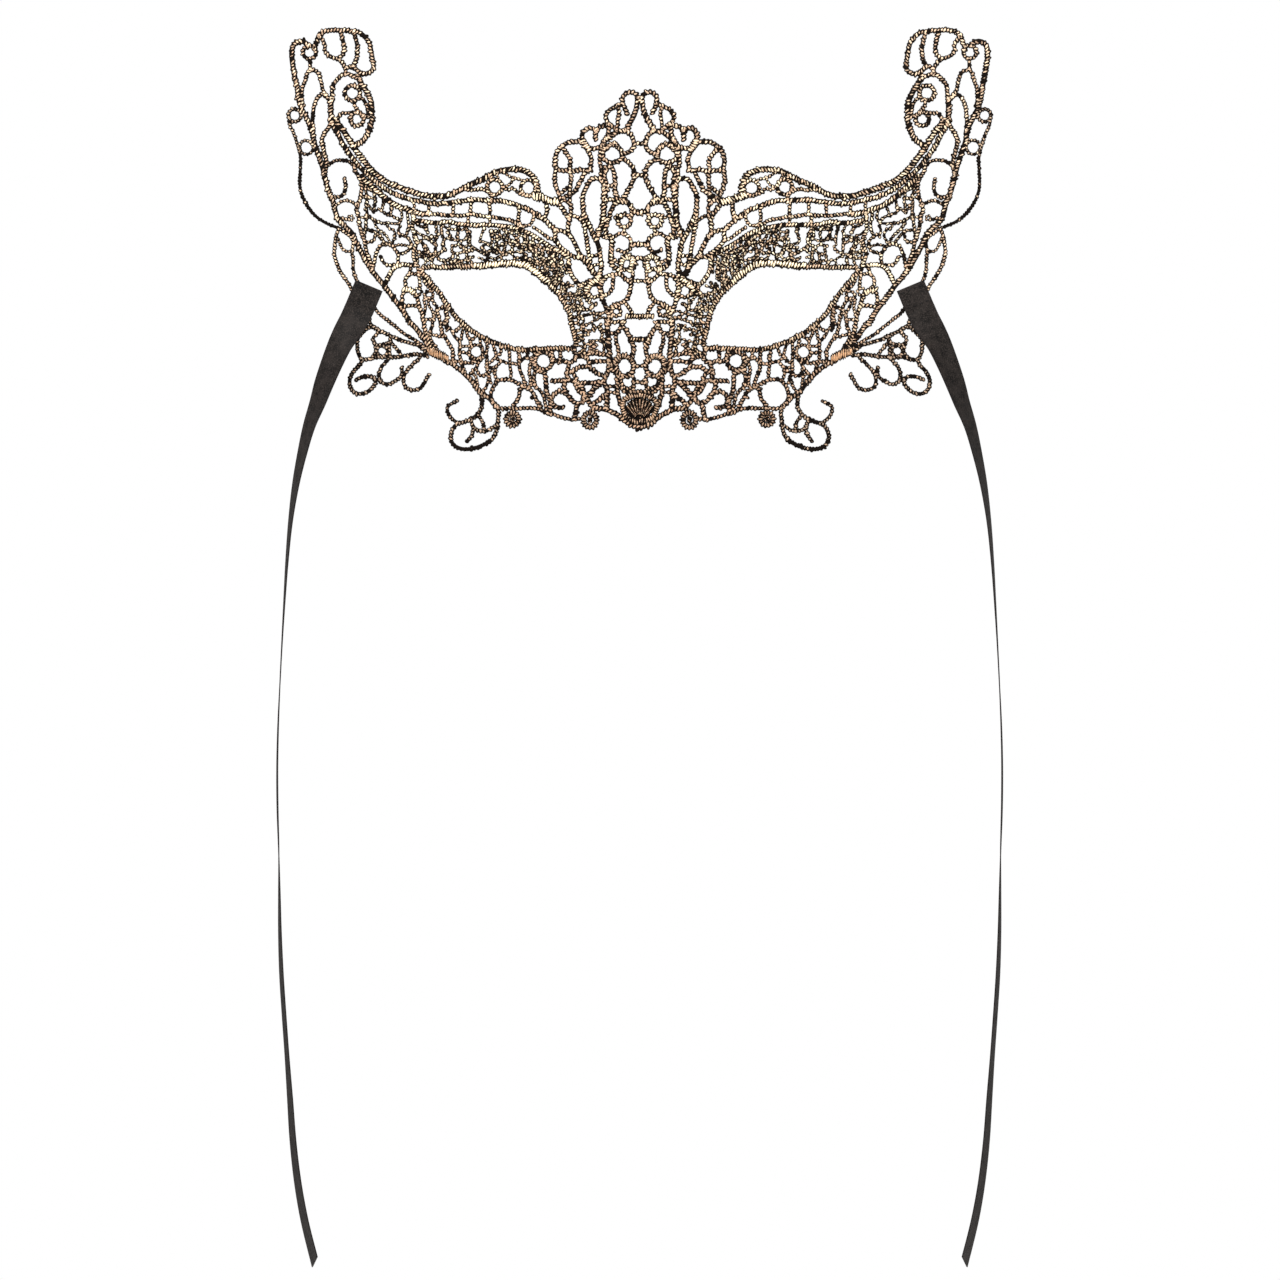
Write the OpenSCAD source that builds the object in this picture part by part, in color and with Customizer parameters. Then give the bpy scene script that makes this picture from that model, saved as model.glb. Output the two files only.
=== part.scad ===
// Venetian masquerade mask: embroidered cord lace with two sewn ribbon ties.
// Front faces -Y, up is +Z. The back of every cord lies on the plane Y = 0.
// Strand tables list u (distance from the centre line) and z, in mm.

/* [Lace] */

// Scale of every cord's width
cord_scale = 1.1; // [0.8:0.05:1.3]

// Depth of the main cords, front to back
cord_depth = 1.4; // [1:0.1:2.4]

// Depth of the fine net cords
net_depth = 0.9; // [0.5:0.1:1.4]

// Depth of the satin stitched bars
satin_depth = 1.7; // [1:0.1:2.6]

// Smoothing steps between two points of a cord
smooth_steps = 2; // [1:1:3]

/* [Nets] */

// Width of the net cords
net_width = 1; // [0.6:0.05:1.3]

// How far the net's knots wander from an even grid, in cells
net_jitter = 0.34; // [0:0.02:0.4]

/* [Ribbons] */

// Ribbon width
ribbon_width = 10; // [6:0.5:14]

// Ribbon thickness
ribbon_thick = 0.4; // [0.3:0.05:0.8]

// Length of the sewn tab
tab_length = 8.8; // [6:0.2:12]

// Clearance of the hanging ribbon in front of the lace
ribbon_clear = 0.35; // [0.3:0.05:2]

/* [Hidden] */

LEFT = 1;
RIGHT = -1;
$fn = 32;

// ---------------------------------------------------------------- strand tables
// an entry is [width, [u, z, u, z, ...]], with a third item 1 when it closes on itself
// a ring is [u, z, radius of its centre line, width]

WING_TIP = [
  [1.5, [112, 87.6, 112, 84]],
  [1.5, [111.9, 84.2, 113.1, 82.3, 113.5, 80.5, 114.2, 78.7, 114.7, 77.2, 114.8, 73.7, 114.2, 71.5]],
  [1.5, [112.2, 83.9, 110.6, 83.5, 109.3, 82.8, 108.6, 81, 108.1, 79, 107.7, 77, 106.3, 74.6, 105, 73.6]],
  [1.9, [110.7, 90.6, 109.6, 93.7, 109.1, 95.2, 107.8, 96.5, 106, 97.1, 103.8, 97.3, 101.7, 97.1,
    99.7, 97.2, 97.7, 96.7, 95.7, 96.6, 94.1, 95.6, 92.9, 94.4, 91.9, 92.9, 91.4, 90.9, 91, 88.6,
    90.6, 86.3, 90.4, 84.8, 91.2, 83.3, 92.9, 82.4, 94.4, 82.5, 95.7, 83.3, 97.4, 84.9]],
  [1.7, [101.7, 96.8, 101.2, 94.9, 100.6, 92.5, 100.5, 89.8, 101.4, 88.4, 102.5, 87.4]],
  [1.7, [97, 96, 96.3, 93.5, 95.9, 91, 96.1, 88.3, 96.6, 86.3, 97.7, 85.1, 99.4, 84.5]],
  [1.6, [109.2, 95.6, 107.7, 93.8, 106.9, 91.8, 107.1, 90.4, 106.3, 89.1, 104.8, 88.1, 103, 87.6, 101.9, 87,
    100.7, 85.6, 100, 84, 99.9, 82]]
];
WING_TIP_RINGS = [[112.2, 89.8, 2.3, 1.6]];

WING_INNER = [
  [1.6, [104.7, 73.2, 104.5, 76.5, 104.4, 78.2, 103.7, 79.3, 102.5, 80.8, 101.2, 82, 99.7, 82.5,
    97.9, 81.9, 96.4, 81.2, 95.2, 80.3]],
  [2.1, [95.9, 81.9, 94.9, 79.5, 93.9, 78, 92.9, 76.5, 91.9, 74.4, 91.2, 72.5, 91.1, 70.6, 91.2, 68.6,
    90.9, 67.1, 91.4, 65.3, 92.1, 62.9, 92.9, 61.2, 93.9, 59.9, 95.2, 58.8, 96.4, 58.3, 97.6, 58.2]],
  [1.3, [97.2, 73.6, 96.7, 71.2, 95.4, 69.6, 93.9, 68.4, 92.2, 67.6]],
  [1.3, [95, 74.4, 93.8, 73.5, 92.9, 72, 92.5, 70.1, 92.3, 68]],
  [1.4, [103, 66.6, 102, 68.3, 101, 69.1, 99.7, 69, 98.2, 69.2, 96.7, 69.4]],
  [2.1, [104.9, 74.2, 105, 70.5, 104.8, 65.6]],
  [1.6, [104.7, 66.2, 105.8, 64, 107, 62.3, 107.9, 60.5, 107.9, 58.9, 107.5, 57, 106.9, 54.5,
    106.4, 52.3, 106.6, 50.3, 107.4, 48]]
];
WING_INNER_RINGS = [[97.6, 75.9, 2.6, 1.6], [96.1, 67, 2.3, 1.6]];

SPINE = [
  [2, [112.6, 91.8, 113.9, 93.2, 115.9, 93.4, 117.6, 92.2, 118.2, 90.4, 118.2, 88.1, 117.9, 85.6,
    117.2, 81.3, 116.3, 77.2, 115.9, 73.9, 114.9, 70.6, 113.1, 67.1, 111.4, 63.3, 110.9, 60.2,
    110.2, 57.7, 108.8, 53.9, 107.7, 50.3, 106.8, 46.3, 105.7, 42.5, 104.2, 38.9, 103.4, 35.5,
    102.7, 33.3, 101.2, 31.4, 99.2, 29.7, 97.7, 28, 96.2, 24.8, 94.4, 21.3, 92.1, 17.3, 89.6, 13.7,
    86.8, 10.5, 84.5, 7.2, 81.7, 3.6, 79.7, 0.7, 78.2, -1.9, 76, -4.1, 74.2, -6.6, 72.2, -9.4,
    71, -11.6]],
  [1.5, [105.6, 73.6, 107.3, 75.4, 108.6, 75.1, 109.6, 73.9, 110.4, 72.4, 110.9, 69.9, 111.2, 66.5,
    110.9, 62.6]]
];

TEMPLE_LOOP = [
  [1.3, [119.2, 67.4, 118.9, 65, 117.9, 62.9, 116.7, 59.7, 116, 57, 115.3, 54.2, 115.3, 50.6,
    115.5, 46.8, 115.4, 43.5, 114.4, 40.2, 112.4, 36.7, 109.6, 33.6, 105.8, 31.3, 101.6, 29.8]]
];
TEMPLE_LOOP_RINGS = [[117.2, 68.3, 2.2, 1.5], [113.3, 57.4, 2.4, 1.3]];

TEMPLE_CURLS = [
  [1.3, [107.3, 50, 104.8, 52.2, 103.3, 52.9, 101.7, 53.1, 100, 53, 98.5, 52.4, 97, 51.1]],
  [1.4, [105.6, 40.9, 103.3, 40.5, 101.7, 40.7, 100.5, 41.7, 100, 43.2, 100, 45, 100.4, 46.8]],
  [1.5, [97.2, 51.5, 96.7, 49.3, 95.4, 47.5, 94.6, 45.5, 94.4, 43.7, 94.7, 41.7, 95, 39.9,
    95.9, 38.2, 96.2, 36.2, 95.7, 34.4, 95.3, 32, 94.9, 29.4, 94.3, 27.5, 93.5, 25.5, 92.9, 22.1,
    92.1, 20.3, 90.8, 16.4]],
  [1.2, [104, 37.2, 102.8, 38, 101.5, 38.9, 100, 39.4, 98.5, 39.1, 96.9, 38.3, 95.5, 37.6]],
  [1.2, [103, 33.2, 101.2, 33.4, 100, 33, 98.7, 32.8]]
];
TEMPLE_CURLS_RINGS = [[98.1, 33.4, 0.8, 0.8]];

TEMPLE_LEAF = [
  [1.4, [102.3, 29.6, 103.2, 27.2, 103.6, 24.5, 103.8, 21.5, 103.2, 18.8, 102.2, 16.2, 100.6, 13.4,
    98.7, 10.7, 96.8, 6.8, 94.4, 2.2, 92.2, -1.8]],
  [1.3, [101.6, 29.5, 99.9, 28.3, 98.2, 27, 97.3, 25.4, 97.6, 23, 97.8, 21.8, 97.5, 19.8,
    97.3, 15.8, 96.4, 12.5, 93.6, 7.4, 90, 2.6, 88, 0.4, 86.1, -1, 84.1, -2.7, 81.9, -4.4,
    80.2, -5.8, 78, -7.2, 76, -8.3, 74, -9.7, 72, -11.7]],
  [1.1, [103, 27.2, 101.7, 24.4, 101, 22.9, 99.7, 22, 97.6, 22.1]]
];

// inside the lower wing, between the temple curls and the brow net
WING_ROOT = [
  [1.2, [93.4, 46.8, 93.2, 43.2, 92.7, 40.8, 92.9, 38.1, 92.7, 35.5, 92.9, 33.3, 93.2, 30.7, 93.8, 27.2]],
  [1.1, [92.8, 38.4, 91.6, 37.1, 90.3, 35.5, 88.9, 36.5, 87.6, 35.7, 86.3, 34.9, 84.7, 34.4,
    83.1, 33.6, 81.5, 32.4]],
  [1.1, [92.8, 34.6, 91.3, 33.3, 89.5, 32.3, 87.3, 31.7, 85.5, 31.7, 83.6, 31.5, 82, 31.7,
    81.5, 30.7, 82, 29.1, 81.4, 27.2]],
  [1.2, [93.2, 29.3, 91.6, 29.3, 90, 28.8, 88.4, 27.2, 87.3, 25.9, 86.2, 24.6]],
  [1, [90.4, 32.6, 89.2, 29.9, 87.3, 28.5, 86, 27.2, 84.9, 25.2]],
  [1, [86, 31.9, 85.5, 30.1, 83.6, 29.3, 83.1, 27.5, 84, 25.1]],
  [1.2, [81.6, 28, 79.9, 27.4, 78.3, 26.1, 77.7, 24.5, 78.3, 22.7, 79.3, 21.9, 81.7, 21.3]],
  [1, [83, 24, 80.9, 24.3, 79.3, 24, 77.7, 23.7]],
  [1, [81, 35.9, 80.7, 34, 80.9, 33.3, 81.6, 31.6]],
  [1.2, [79, 35.6, 78.8, 33.3, 78.5, 31.2, 78.8, 29.1, 79.6, 27.2]],
  [1.1, [90.6, 43.6, 90.2, 41.6, 89.9, 39.4, 90.2, 37.4, 90.4, 35.4]],
  [1.1, [86.9, 40.1, 87.2, 38.2, 87.8, 35.9]],
  [1.1, [83.7, 37.6, 84.4, 36.2, 84.9, 34.2]],
  [1.1, [94.9, 44.8, 93, 43.6, 91, 42.8, 89.2, 42]],
  [1.1, [95.2, 40.6, 93, 40.4, 91, 40.2, 89.9, 40]],
  [1, [95.6, 33.6, 94, 33.8, 92.9, 33.6]],
  [1.1, [93.3, 25.4, 91.6, 25.2, 90.2, 26.2, 89.8, 28.4]]
];

TEMPLE_HOOK = [
  [1.4, [90.8, 16, 90.1, 18.6, 89.8, 20.6, 89.1, 22.3, 88.3, 23.8, 86.3, 24.6, 84.3, 24.1,
    83, 22.6, 82, 20.4, 82.4, 17.2]],
  [1.3, [88, 20.2, 87.3, 18.6, 86, 17.5, 84.5, 17.4, 82.3, 17.5]],
  [1.6, [86.7, 10.6, 85.6, 13, 84.6, 15, 83, 16.6, 81, 17.5, 78.6, 17.5, 76.4, 17.3]],
  [1.4, [77.8, 17.2, 77.9, 15.6, 78.4, 14.3, 79.4, 13.3, 79.8, 12, 79.7, 10.8, 79.2, 9.7, 78.6, 8.9]],
  [1.4, [79.7, 8.8, 80.3, 8.1, 80.7, 6.9, 80.8, 5.6, 80.6, 4.4, 81.2, 3.2]],
  [1.4, [78.4, 14.2, 77, 14.5, 75.2, 14.2]],
  [1.8, [80, 8.9, 78.2, 8.9, 77, 8.1, 75.9, 6.8]],
  [1.5, [79.8, 3.3, 78, 3.6, 76, 3.7, 74.9, 3.2]],
  [1.7, [75.7, 6.7, 75.2, 4.7, 74.8, 2.9, 74.1, 1.5, 73.7, -0.3, 73.4, -2.1, 73.2, -3.9,
    72.7, -5.5, 72.3, -6.9, 71.8, -8.5, 70.6, -11.2]],
  [1.4, [75.6, 17.2, 75.1, 14.6, 74.8, 12.1, 74.7, 10.6, 74.9, 9.4]]
];
TEMPLE_HOOK_RINGS = [[75.3, 8.4, 1.2, 1]];

BROW_EDGE = [
  [2, [103.4, 67.2, 102, 64.6, 100.7, 63.1, 98.5, 59.7, 97.4, 57.9, 94.9, 54.4, 92.4, 51.1, 90, 48.7,
    88.1, 47.1, 86.3, 45.8, 84.4, 44.9, 82.3, 44.1, 79.9, 43.2, 78, 42.5, 75.9, 41.9, 74, 41.3,
    72, 40.9, 70, 40.8, 67.9, 40.8, 66, 40.9, 63.9, 41.4, 62, 42.4, 60.1, 43.4, 58, 44.6,
    55.9, 45.5, 54, 46.2, 52.1, 47.2, 50, 48.4, 47.9, 49.3, 45.7, 49.7, 43.3, 50, 40.7, 49.8,
    38.3, 49, 36.5, 47.7, 35.4, 45.9, 34.9, 44, 34.6, 42.1, 34, 40.8]],
  [1.3, [60.3, 43.2, 56.7, 42.9, 54.5, 43.2, 52.7, 42.9, 51.3, 42.1, 50.3, 40.8, 50.3, 38.8]],
  [1.3, [50.6, 48.1, 50.2, 46.3]],
  [0.9, [48.8, 48.9, 47.9, 46.2]],
  [0.9, [46.9, 49.4, 44.1, 47.5, 42.8, 46.9, 40.4, 46.4, 39.5, 45.4]],
  [0.9, [42.8, 47.3, 43.6, 45.6, 44.7, 44.5, 46.1, 43.9]],
  [1.2, [46.2, 44.1, 44.7, 42.9, 43.1, 43.5, 42, 42.7, 41.2, 41.9, 39.6, 41.3, 38.3, 40.8,
    36.3, 40.8]]
];
BROW_EDGE_RINGS = [[49.3, 43.9, 2.6, 1.5], [37.9, 43.7, 2.6, 1.3]];

BROW_BAND = [
  [1.7, [105.4, 67, 103.5, 63.6, 102.3, 61.5, 101.2, 59.2, 100, 57.2, 97.4, 53.6, 94.7, 50.3,
    91.6, 47.4, 88.1, 44.5, 84.9, 42.4, 81.9, 41, 79.4, 40.1, 77.2, 39.6, 74, 39, 71.3, 38.4,
    68.7, 38.2, 66, 38.4, 63.3, 38.8, 60.7, 39.1, 58, 39.4, 55.3, 39.6, 53.2, 39.5, 51.6, 39.4,
    50.3, 39.3, 48.7, 39.4, 46.8, 39.2, 45.2, 38.9, 43.6, 38.4, 42, 37.9, 40.7, 37.3, 39.3, 36.8,
    37.7, 36.3, 36.4, 35.5, 35.1, 34.7, 33.7, 33.8, 32.4, 32.6]],
  [2, [94.8, 47.6, 92, 45, 89.7, 43, 88, 41.4, 86, 39.7, 83.6, 38.2, 81.5, 37.1, 79.6, 36.5,
    77.7, 35.9, 75.9, 35.2, 74, 34.8, 71.3, 34.8]],
  [1.3, [71.8, 34.9, 69.2, 34.7, 67.1, 34.4, 64.7, 34.2, 63.3, 34.3, 61.2, 34.2, 59.1, 34.3,
    57.2, 34.7, 55.3, 34.4, 53.5, 34.1, 51.6, 33.8, 50, 33.8, 48.4, 33.5, 46.5, 33.1, 44.7, 32.8,
    43.1, 32.2, 42, 31.5, 40.7, 30.9, 39.2, 30.7]],
  [1.1, [63.3, 38.8, 63.5, 34.2]],
  [1.1, [57.2, 39.4, 57.5, 36.6, 57.3, 34.6]],
  [1.2, [51.4, 39.4, 51.1, 37.6, 50.8, 36, 51.2, 33.7]],
  [1.2, [41.6, 37.8, 40.9, 36, 41.2, 34.4, 41.2, 32.8, 40.3, 30.7]],
  [1.1, [36.5, 35.7, 35.9, 33.9, 36.4, 32.5, 37.5, 31, 39.6, 30.8]],
  [0.9, [35.9, 33.9, 33.4, 33.3]],
  [1.1, [58.3, 34.6, 58.3, 31]],
  [1.1, [51, 33.9, 50.8, 31]],
  [1.1, [72.4, 39, 71.6, 37, 72, 34.6]],
  [1, [78, 40.2, 76.6, 38, 77, 35.4]],
  [1, [69.8, 38.6, 69.6, 41.2]],
  [1.1, [35.9, 30.2, 34.3, 29.1, 32.7, 27.9, 31.1, 26.7, 29, 25.9]]
];

BROW_NET_EDGE = [
  [1.9, [76.8, 35.2, 76.9, 33.4, 75.6, 32.6, 73, 32.2, 71, 31.8, 68.5, 31.7, 66, 32.1, 64.4, 32.1,
    62.5, 31.6, 60.7, 31.2, 58.5, 31, 56.4, 31.1, 54.5, 31, 52.7, 31.1, 50.5, 31, 48.4, 30.9,
    46.3, 30.7, 44.7, 30.4, 42.5, 30.1, 40.9, 29.6, 39.3, 28.9, 37.7, 28.2, 36.4, 27.5,
    35.1, 26.7, 33.7, 25.7, 32.4, 25, 30.9, 24.1, 29.4, 23.2, 27.8, 22.4, 26.6, 21.7, 25.1, 20.6,
    24.1, 19.3, 24.1, 17.6, 23.9, 16.1, 23.3, 14.5, 22.5, 13, 21.3, 11.6, 19.7, 10.1]],
  [1.6, [77, 33.8, 77.2, 31.4, 77.1, 29.6, 76.4, 27.8, 75.6, 25.9, 76.2, 23.8, 77, 21.6, 76.6, 19.4,
    75.8, 17.2]]
];

EYE_RIM = [
  [1.8, [74.4, 15.9, 71.9, 16.7, 69.7, 16.8, 67.9, 16.6, 65.2, 16.6, 63.3, 16.7, 61.5, 16.9,
    59.3, 16.8, 57.2, 17, 55.3, 17, 53.2, 17.1, 51.1, 17.3, 48.9, 17.6, 46.8, 17.8, 44.7, 17.9,
    42.5, 17.8, 40.4, 17.5, 38.5, 16.8, 36.9, 16, 35.3, 14.9, 34, 13.8, 32.3, 12.3, 30.7, 10.8,
    29.2, 9.3, 27.8, 7.8, 26.6, 6.1, 25.6, 4.4, 24.7, 2.7, 23.9, 1, 23.4, -0.8, 23.1, -3,
    22.5, -5.3, 21.9, -7.3, 21.6, -9.4, 22.8, -10.9, 25.3, -10.9, 27.9, -10.9, 30.4, -11,
    32.9, -11.1, 35.5, -11.2, 38, -11.4, 40.6, -11.4, 43.2, -11, 45.6, -10.4, 47.4, -9.7,
    48.9, -9.1, 50.5, -8.5, 52.1, -7.8, 53.7, -7, 55.1, -6.2, 56.4, -5.4, 58, -4.2, 59.4, -3,
    60.5, -2, 61.9, -0.8, 63, 0.3, 63.8, 1.5, 64.6, 2.8, 65.4, 4, 66.3, 5.1, 67.1, 6.5, 68, 7.9,
    69, 9, 70, 10, 70.9, 11.2, 71.8, 12.4, 72.9, 13.8], 1]
];

// outer cheek, between the temple and the eye
CHEEK_NET = [
  [1.2, [74.2, 15, 73.2, 12.2, 72.3, 10.4, 71.2, 9.6, 70.6, 8.4, 70.2, 7, 71, 6.1, 72.5, 6.1]],
  [1.2, [71.6, 5.9, 72.9, 6.5, 72.9, 7.8, 71.6, 8.5, 69, 9.2]],
  [1.2, [73, 6.6, 73.2, 4.7, 72.7, 3.1, 73.4, 0.6]],
  [1.1, [71.8, 6.3, 71.8, 4.2, 71.2, 2.9, 70.3, 1.5, 70, -0.6]],
  [1.1, [70.4, 6.6, 70.3, 4.9, 69.4, 3.9, 68.6, 2.2]],
  [1.4, [65.4, 4.3, 67.3, 2.9, 68.7, 2.4, 69.3, 1.3, 69.9, -0.1, 70.4, -1.4, 70.4, -2.8, 70.9, -4.4,
    71.4, -5.8, 71.2, -7.6, 70.5, -8.9, 69.6, -10.1, 68.7, -12]],
  [1.2, [73.8, -1, 71.8, -1.1, 70, -1]],
  [1.2, [73.2, -5.6, 71.2, -6.2, 69, -6.5, 67.8, -7, 66, -6.8]],
  [1.9, [65.3, 3.5, 65.9, 1.5, 65.4, -0.3, 65.9, -2.1, 65.2, -4.4]],
  [1.4, [68.9, 2, 68.2, -0.5, 67.8, -2.1, 67.5, -3.9, 67.2, -5.5, 66.6, -6.4, 65.9, -7.6, 65, -8.7,
    64.4, -10.1, 63.6, -11.4, 63.4, -13.2, 63.6, -14.8, 62.9, -16.6]],
  [1.3, [67.6, -3, 66.6, -2.6, 65.4, -1.8]],
  [1.3, [65.4, -4.3, 64.1, -4.3, 63.6, -5.6, 62.6, -7.2, 61.3, -8.5, 61, -10.1, 61.2, -11.7,
    61.1, -13.5, 60.9, -15.2, 60.2, -17.1, 59.5, -19]],
  [1.3, [63.3, -5.2, 61.8, -4.4, 60.3, -2.4]],
  [1.2, [59.8, -3, 60.3, -5.5, 60.6, -7.4, 61.2, -8.8]],
  [1.2, [59.2, -3.6, 58.7, -6, 57.8, -7.6, 57.6, -8.9, 57.2, -10.5]],
  [1.2, [57.6, -8.6, 56.2, -7.2, 54.8, -6.4]],
  [1.2, [61, -10.4, 58.8, -10.1, 57, -10.4]],
  [1.4, [64.6, -15.3, 61.4, -15.3, 59.6, -15.7, 57.5, -15.9, 55.6, -15.4, 54.2, -14.3]],
  [1.2, [61.1, -12.2, 58.5, -12.6, 57.6, -13.9, 56.9, -15.4]],
  [1.2, [54.2, -7.4, 54.2, -9.2, 53.4, -10.7, 53.3, -12.3, 53.3, -13.9, 54.6, -15.6, 55.6, -17.4,
    56.6, -18.6, 58.2, -20.2]],
  [1.3, [52, -8.4, 51.9, -10.4, 52.1, -12.5, 51.9, -14.7, 51.9, -16.8, 51.7, -19.2]],
  [1.2, [50, -9.2, 49.4, -11.2, 48.9, -13.4, 50.2, -15.2, 51.9, -16.2]],
  [1.2, [46.9, -10.6, 47.4, -12.6, 48.9, -13.4]],
  [1.3, [44.6, -11.2, 44.3, -12.8, 44.1, -14.9, 44.1, -17.1, 43.7, -19.2, 44, -21.4]],
  [1.2, [48.8, -13.6, 47.8, -15, 46.5, -15.3, 45.2, -15.8, 43.4, -16.1, 41, -16.2]],
  [1.2, [51.8, -17.6, 50, -17.4, 48.9, -17.1, 47.2, -15.4]],
  [1.2, [49, -17.2, 49.2, -19.7, 48.6, -21.6]],
  [1.2, [55.4, -17.1, 55.2, -19, 53.7, -20.3, 52.1, -19.7, 50.3, -18.6, 49, -18.4]],
  [1.2, [51.9, -19.4, 51.1, -20.8, 50.6, -22.6]],
  [1.2, [57.1, -19.2, 55.6, -20.6, 55.3, -22.4, 55, -24.6]],
  [1.2, [51.4, -21.4, 52, -23.6, 52.9, -25.1, 54.2, -25.5]],
  [1.4, [41.2, -11.9, 40.9, -13.3, 41, -16, 40.6, -18.7, 39.6, -20.8, 38.9, -23.4]],
  [1.3, [40.6, -15.6, 39.4, -14.3, 38.2, -14, 36.8, -14.6, 37.2, -16.5, 37.5, -18.7, 37.1, -20.8,
    37.1, -22.9, 37.7, -24.8]],
  [1.2, [38.3, -14.4, 38.2, -12.6, 38.4, -11.6]],
  [1.2, [36.9, -14.9, 35.8, -13.1, 35.6, -11.4]]
];
CHEEK_NET_RINGS = [[55.6, -12.1, 2.4, 1.2]];

CHEEK_EDGE = [
  [1.9, [66.4, -15.2, 64, -16, 62.3, -17.2, 60.9, -18.2, 59.6, -19.5, 58.3, -20.8, 56.9, -22.1,
    55.9, -23.6, 54.8, -25.1, 53.7, -26.3, 52, -27.2, 50.6, -28.4, 49.5, -29.8, 48.2, -31]],
  [1.4, [49, -30.7, 47.3, -31.3, 45.7, -31.4, 44.2, -31.2, 42.6, -31.3, 40.9, -31.4, 39.3, -31.2,
    36.7, -31.2, 34.8, -31.4, 33.2, -32, 31.7, -32.9, 30.1, -32.9, 29.1, -33.3, 27.9, -33.9,
    26.1, -34.4, 24.3, -34.8, 22.8, -35.2, 21.3, -34.9, 19.4, -34.9]],
  [1.5, [49.9, -29.4, 50.6, -27.2, 50.3, -25.3, 49.6, -23.7, 48.6, -22.4, 47.7, -21.7, 46, -21.4,
    43.6, -21.7, 41.7, -22.6, 39.9, -23.6, 38.4, -24.4, 37, -25.2, 36.1, -26.3, 35.3, -28,
    34.3, -29.7, 33.4, -31.6]],
  [1.6, [39.7, -24, 40.7, -25, 40.9, -26.7, 41.5, -28.5, 42.7, -29.8, 43.2, -31.2]],
  [1.3, [37.6, -24.4, 36.3, -23.2, 35, -24.2, 33.6, -25.6, 32.6, -27.3, 32.2, -29.4, 31.8, -31.6]],
  [1.1, [36, -26.4, 36.6, -27.6]]
];

// inner cheek, beside the nose
NOSE_LACE = [
  [1.3, [36.6, -14.6, 35.7, -16.6, 35.2, -18.4, 33.7, -18.7, 32.4, -19.4, 31.9, -21, 31.9, -23.5,
    31.6, -25.8, 30.7, -27.5, 30.4, -29.4, 30.5, -33.2]],
  [1.2, [35.3, -18.2, 36, -20.4, 35.9, -22.6, 35.2, -24.4]],
  [1.3, [30, -12.2, 29.3, -14.5, 27.9, -15.4, 26.1, -15.2, 24.3, -15.8, 22.6, -15.2, 21.6, -13.6,
    22.3, -11.4]],
  [1.1, [26.9, -11.4, 27, -13, 27.1, -15.6]],
  [1.3, [24, -15.6, 24.2, -17.4, 24.8, -19.4, 24.3, -21.8]],
  [1.3, [29.9, -22, 27.9, -21.9, 26.3, -21.9, 24.7, -22, 23.4, -21.6, 22.1, -22.1, 20.9, -22.6,
    20.1, -23.6, 19.3, -24.8, 18.8, -26.3, 18.8, -27.8, 19.5, -29.2]],
  [1.3, [19, -28.6, 20.6, -29.7, 22.2, -29.3, 23.3, -28.3, 24.3, -27.1, 25.3, -25.6, 25.7, -23.9,
    25.5, -21.8]],
  [1.3, [25, -26, 27.1, -25.5, 28.6, -26.1, 29.8, -27.3, 30, -28.9, 29.4, -30.1, 27.9, -30.9,
    26, -31.1]],
  [1.2, [22.3, -22, 21.5, -24, 20.5, -25.8, 18.9, -26.6]],
  [1.4, [20.9, -29.4, 21.5, -31.1, 21.8, -32.9, 22.3, -35]],
  [1.3, [21.9, -13.9, 19.9, -13.6, 18, -14.2, 17.2, -15.7, 17.2, -17.4, 15.6, -18.4, 14, -19.7,
    11.6, -20.3]],
  [1.3, [24.7, -19.2, 22.6, -18.6, 20.9, -17.3, 19.4, -17.2, 17, -17]],
  [1.2, [22.8, -18.8, 21.9, -20.6, 21.2, -22.6]],
  [1.3, [21, -22.8, 18.9, -22.7, 16.7, -22.7, 14.9, -22.4, 12.8, -22.2]],
  [1.5, [13.3, -22.6, 15.2, -24.3, 16.5, -25.8, 17.7, -27.6, 18.9, -28.4]],
  [1.3, [10.8, -25.6, 12.9, -27.6, 14.7, -28.9, 16.4, -30.4]],
  [1.4, [18.8, -27.3, 17.4, -28.9, 15.4, -30.9]],
  [1.2, [17.2, -15.8, 15, -15.4, 12.8, -15.2, 10.8, -15.3]],
  [1.2, [17, -12.8, 15.2, -12.6, 13.2, -13, 11, -13]],
  [1.2, [18, -14, 16.6, -11, 14.8, -9.6]]
];
NOSE_LACE_RINGS = [[32.7, -15.2, 3, 1.3]];

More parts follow.
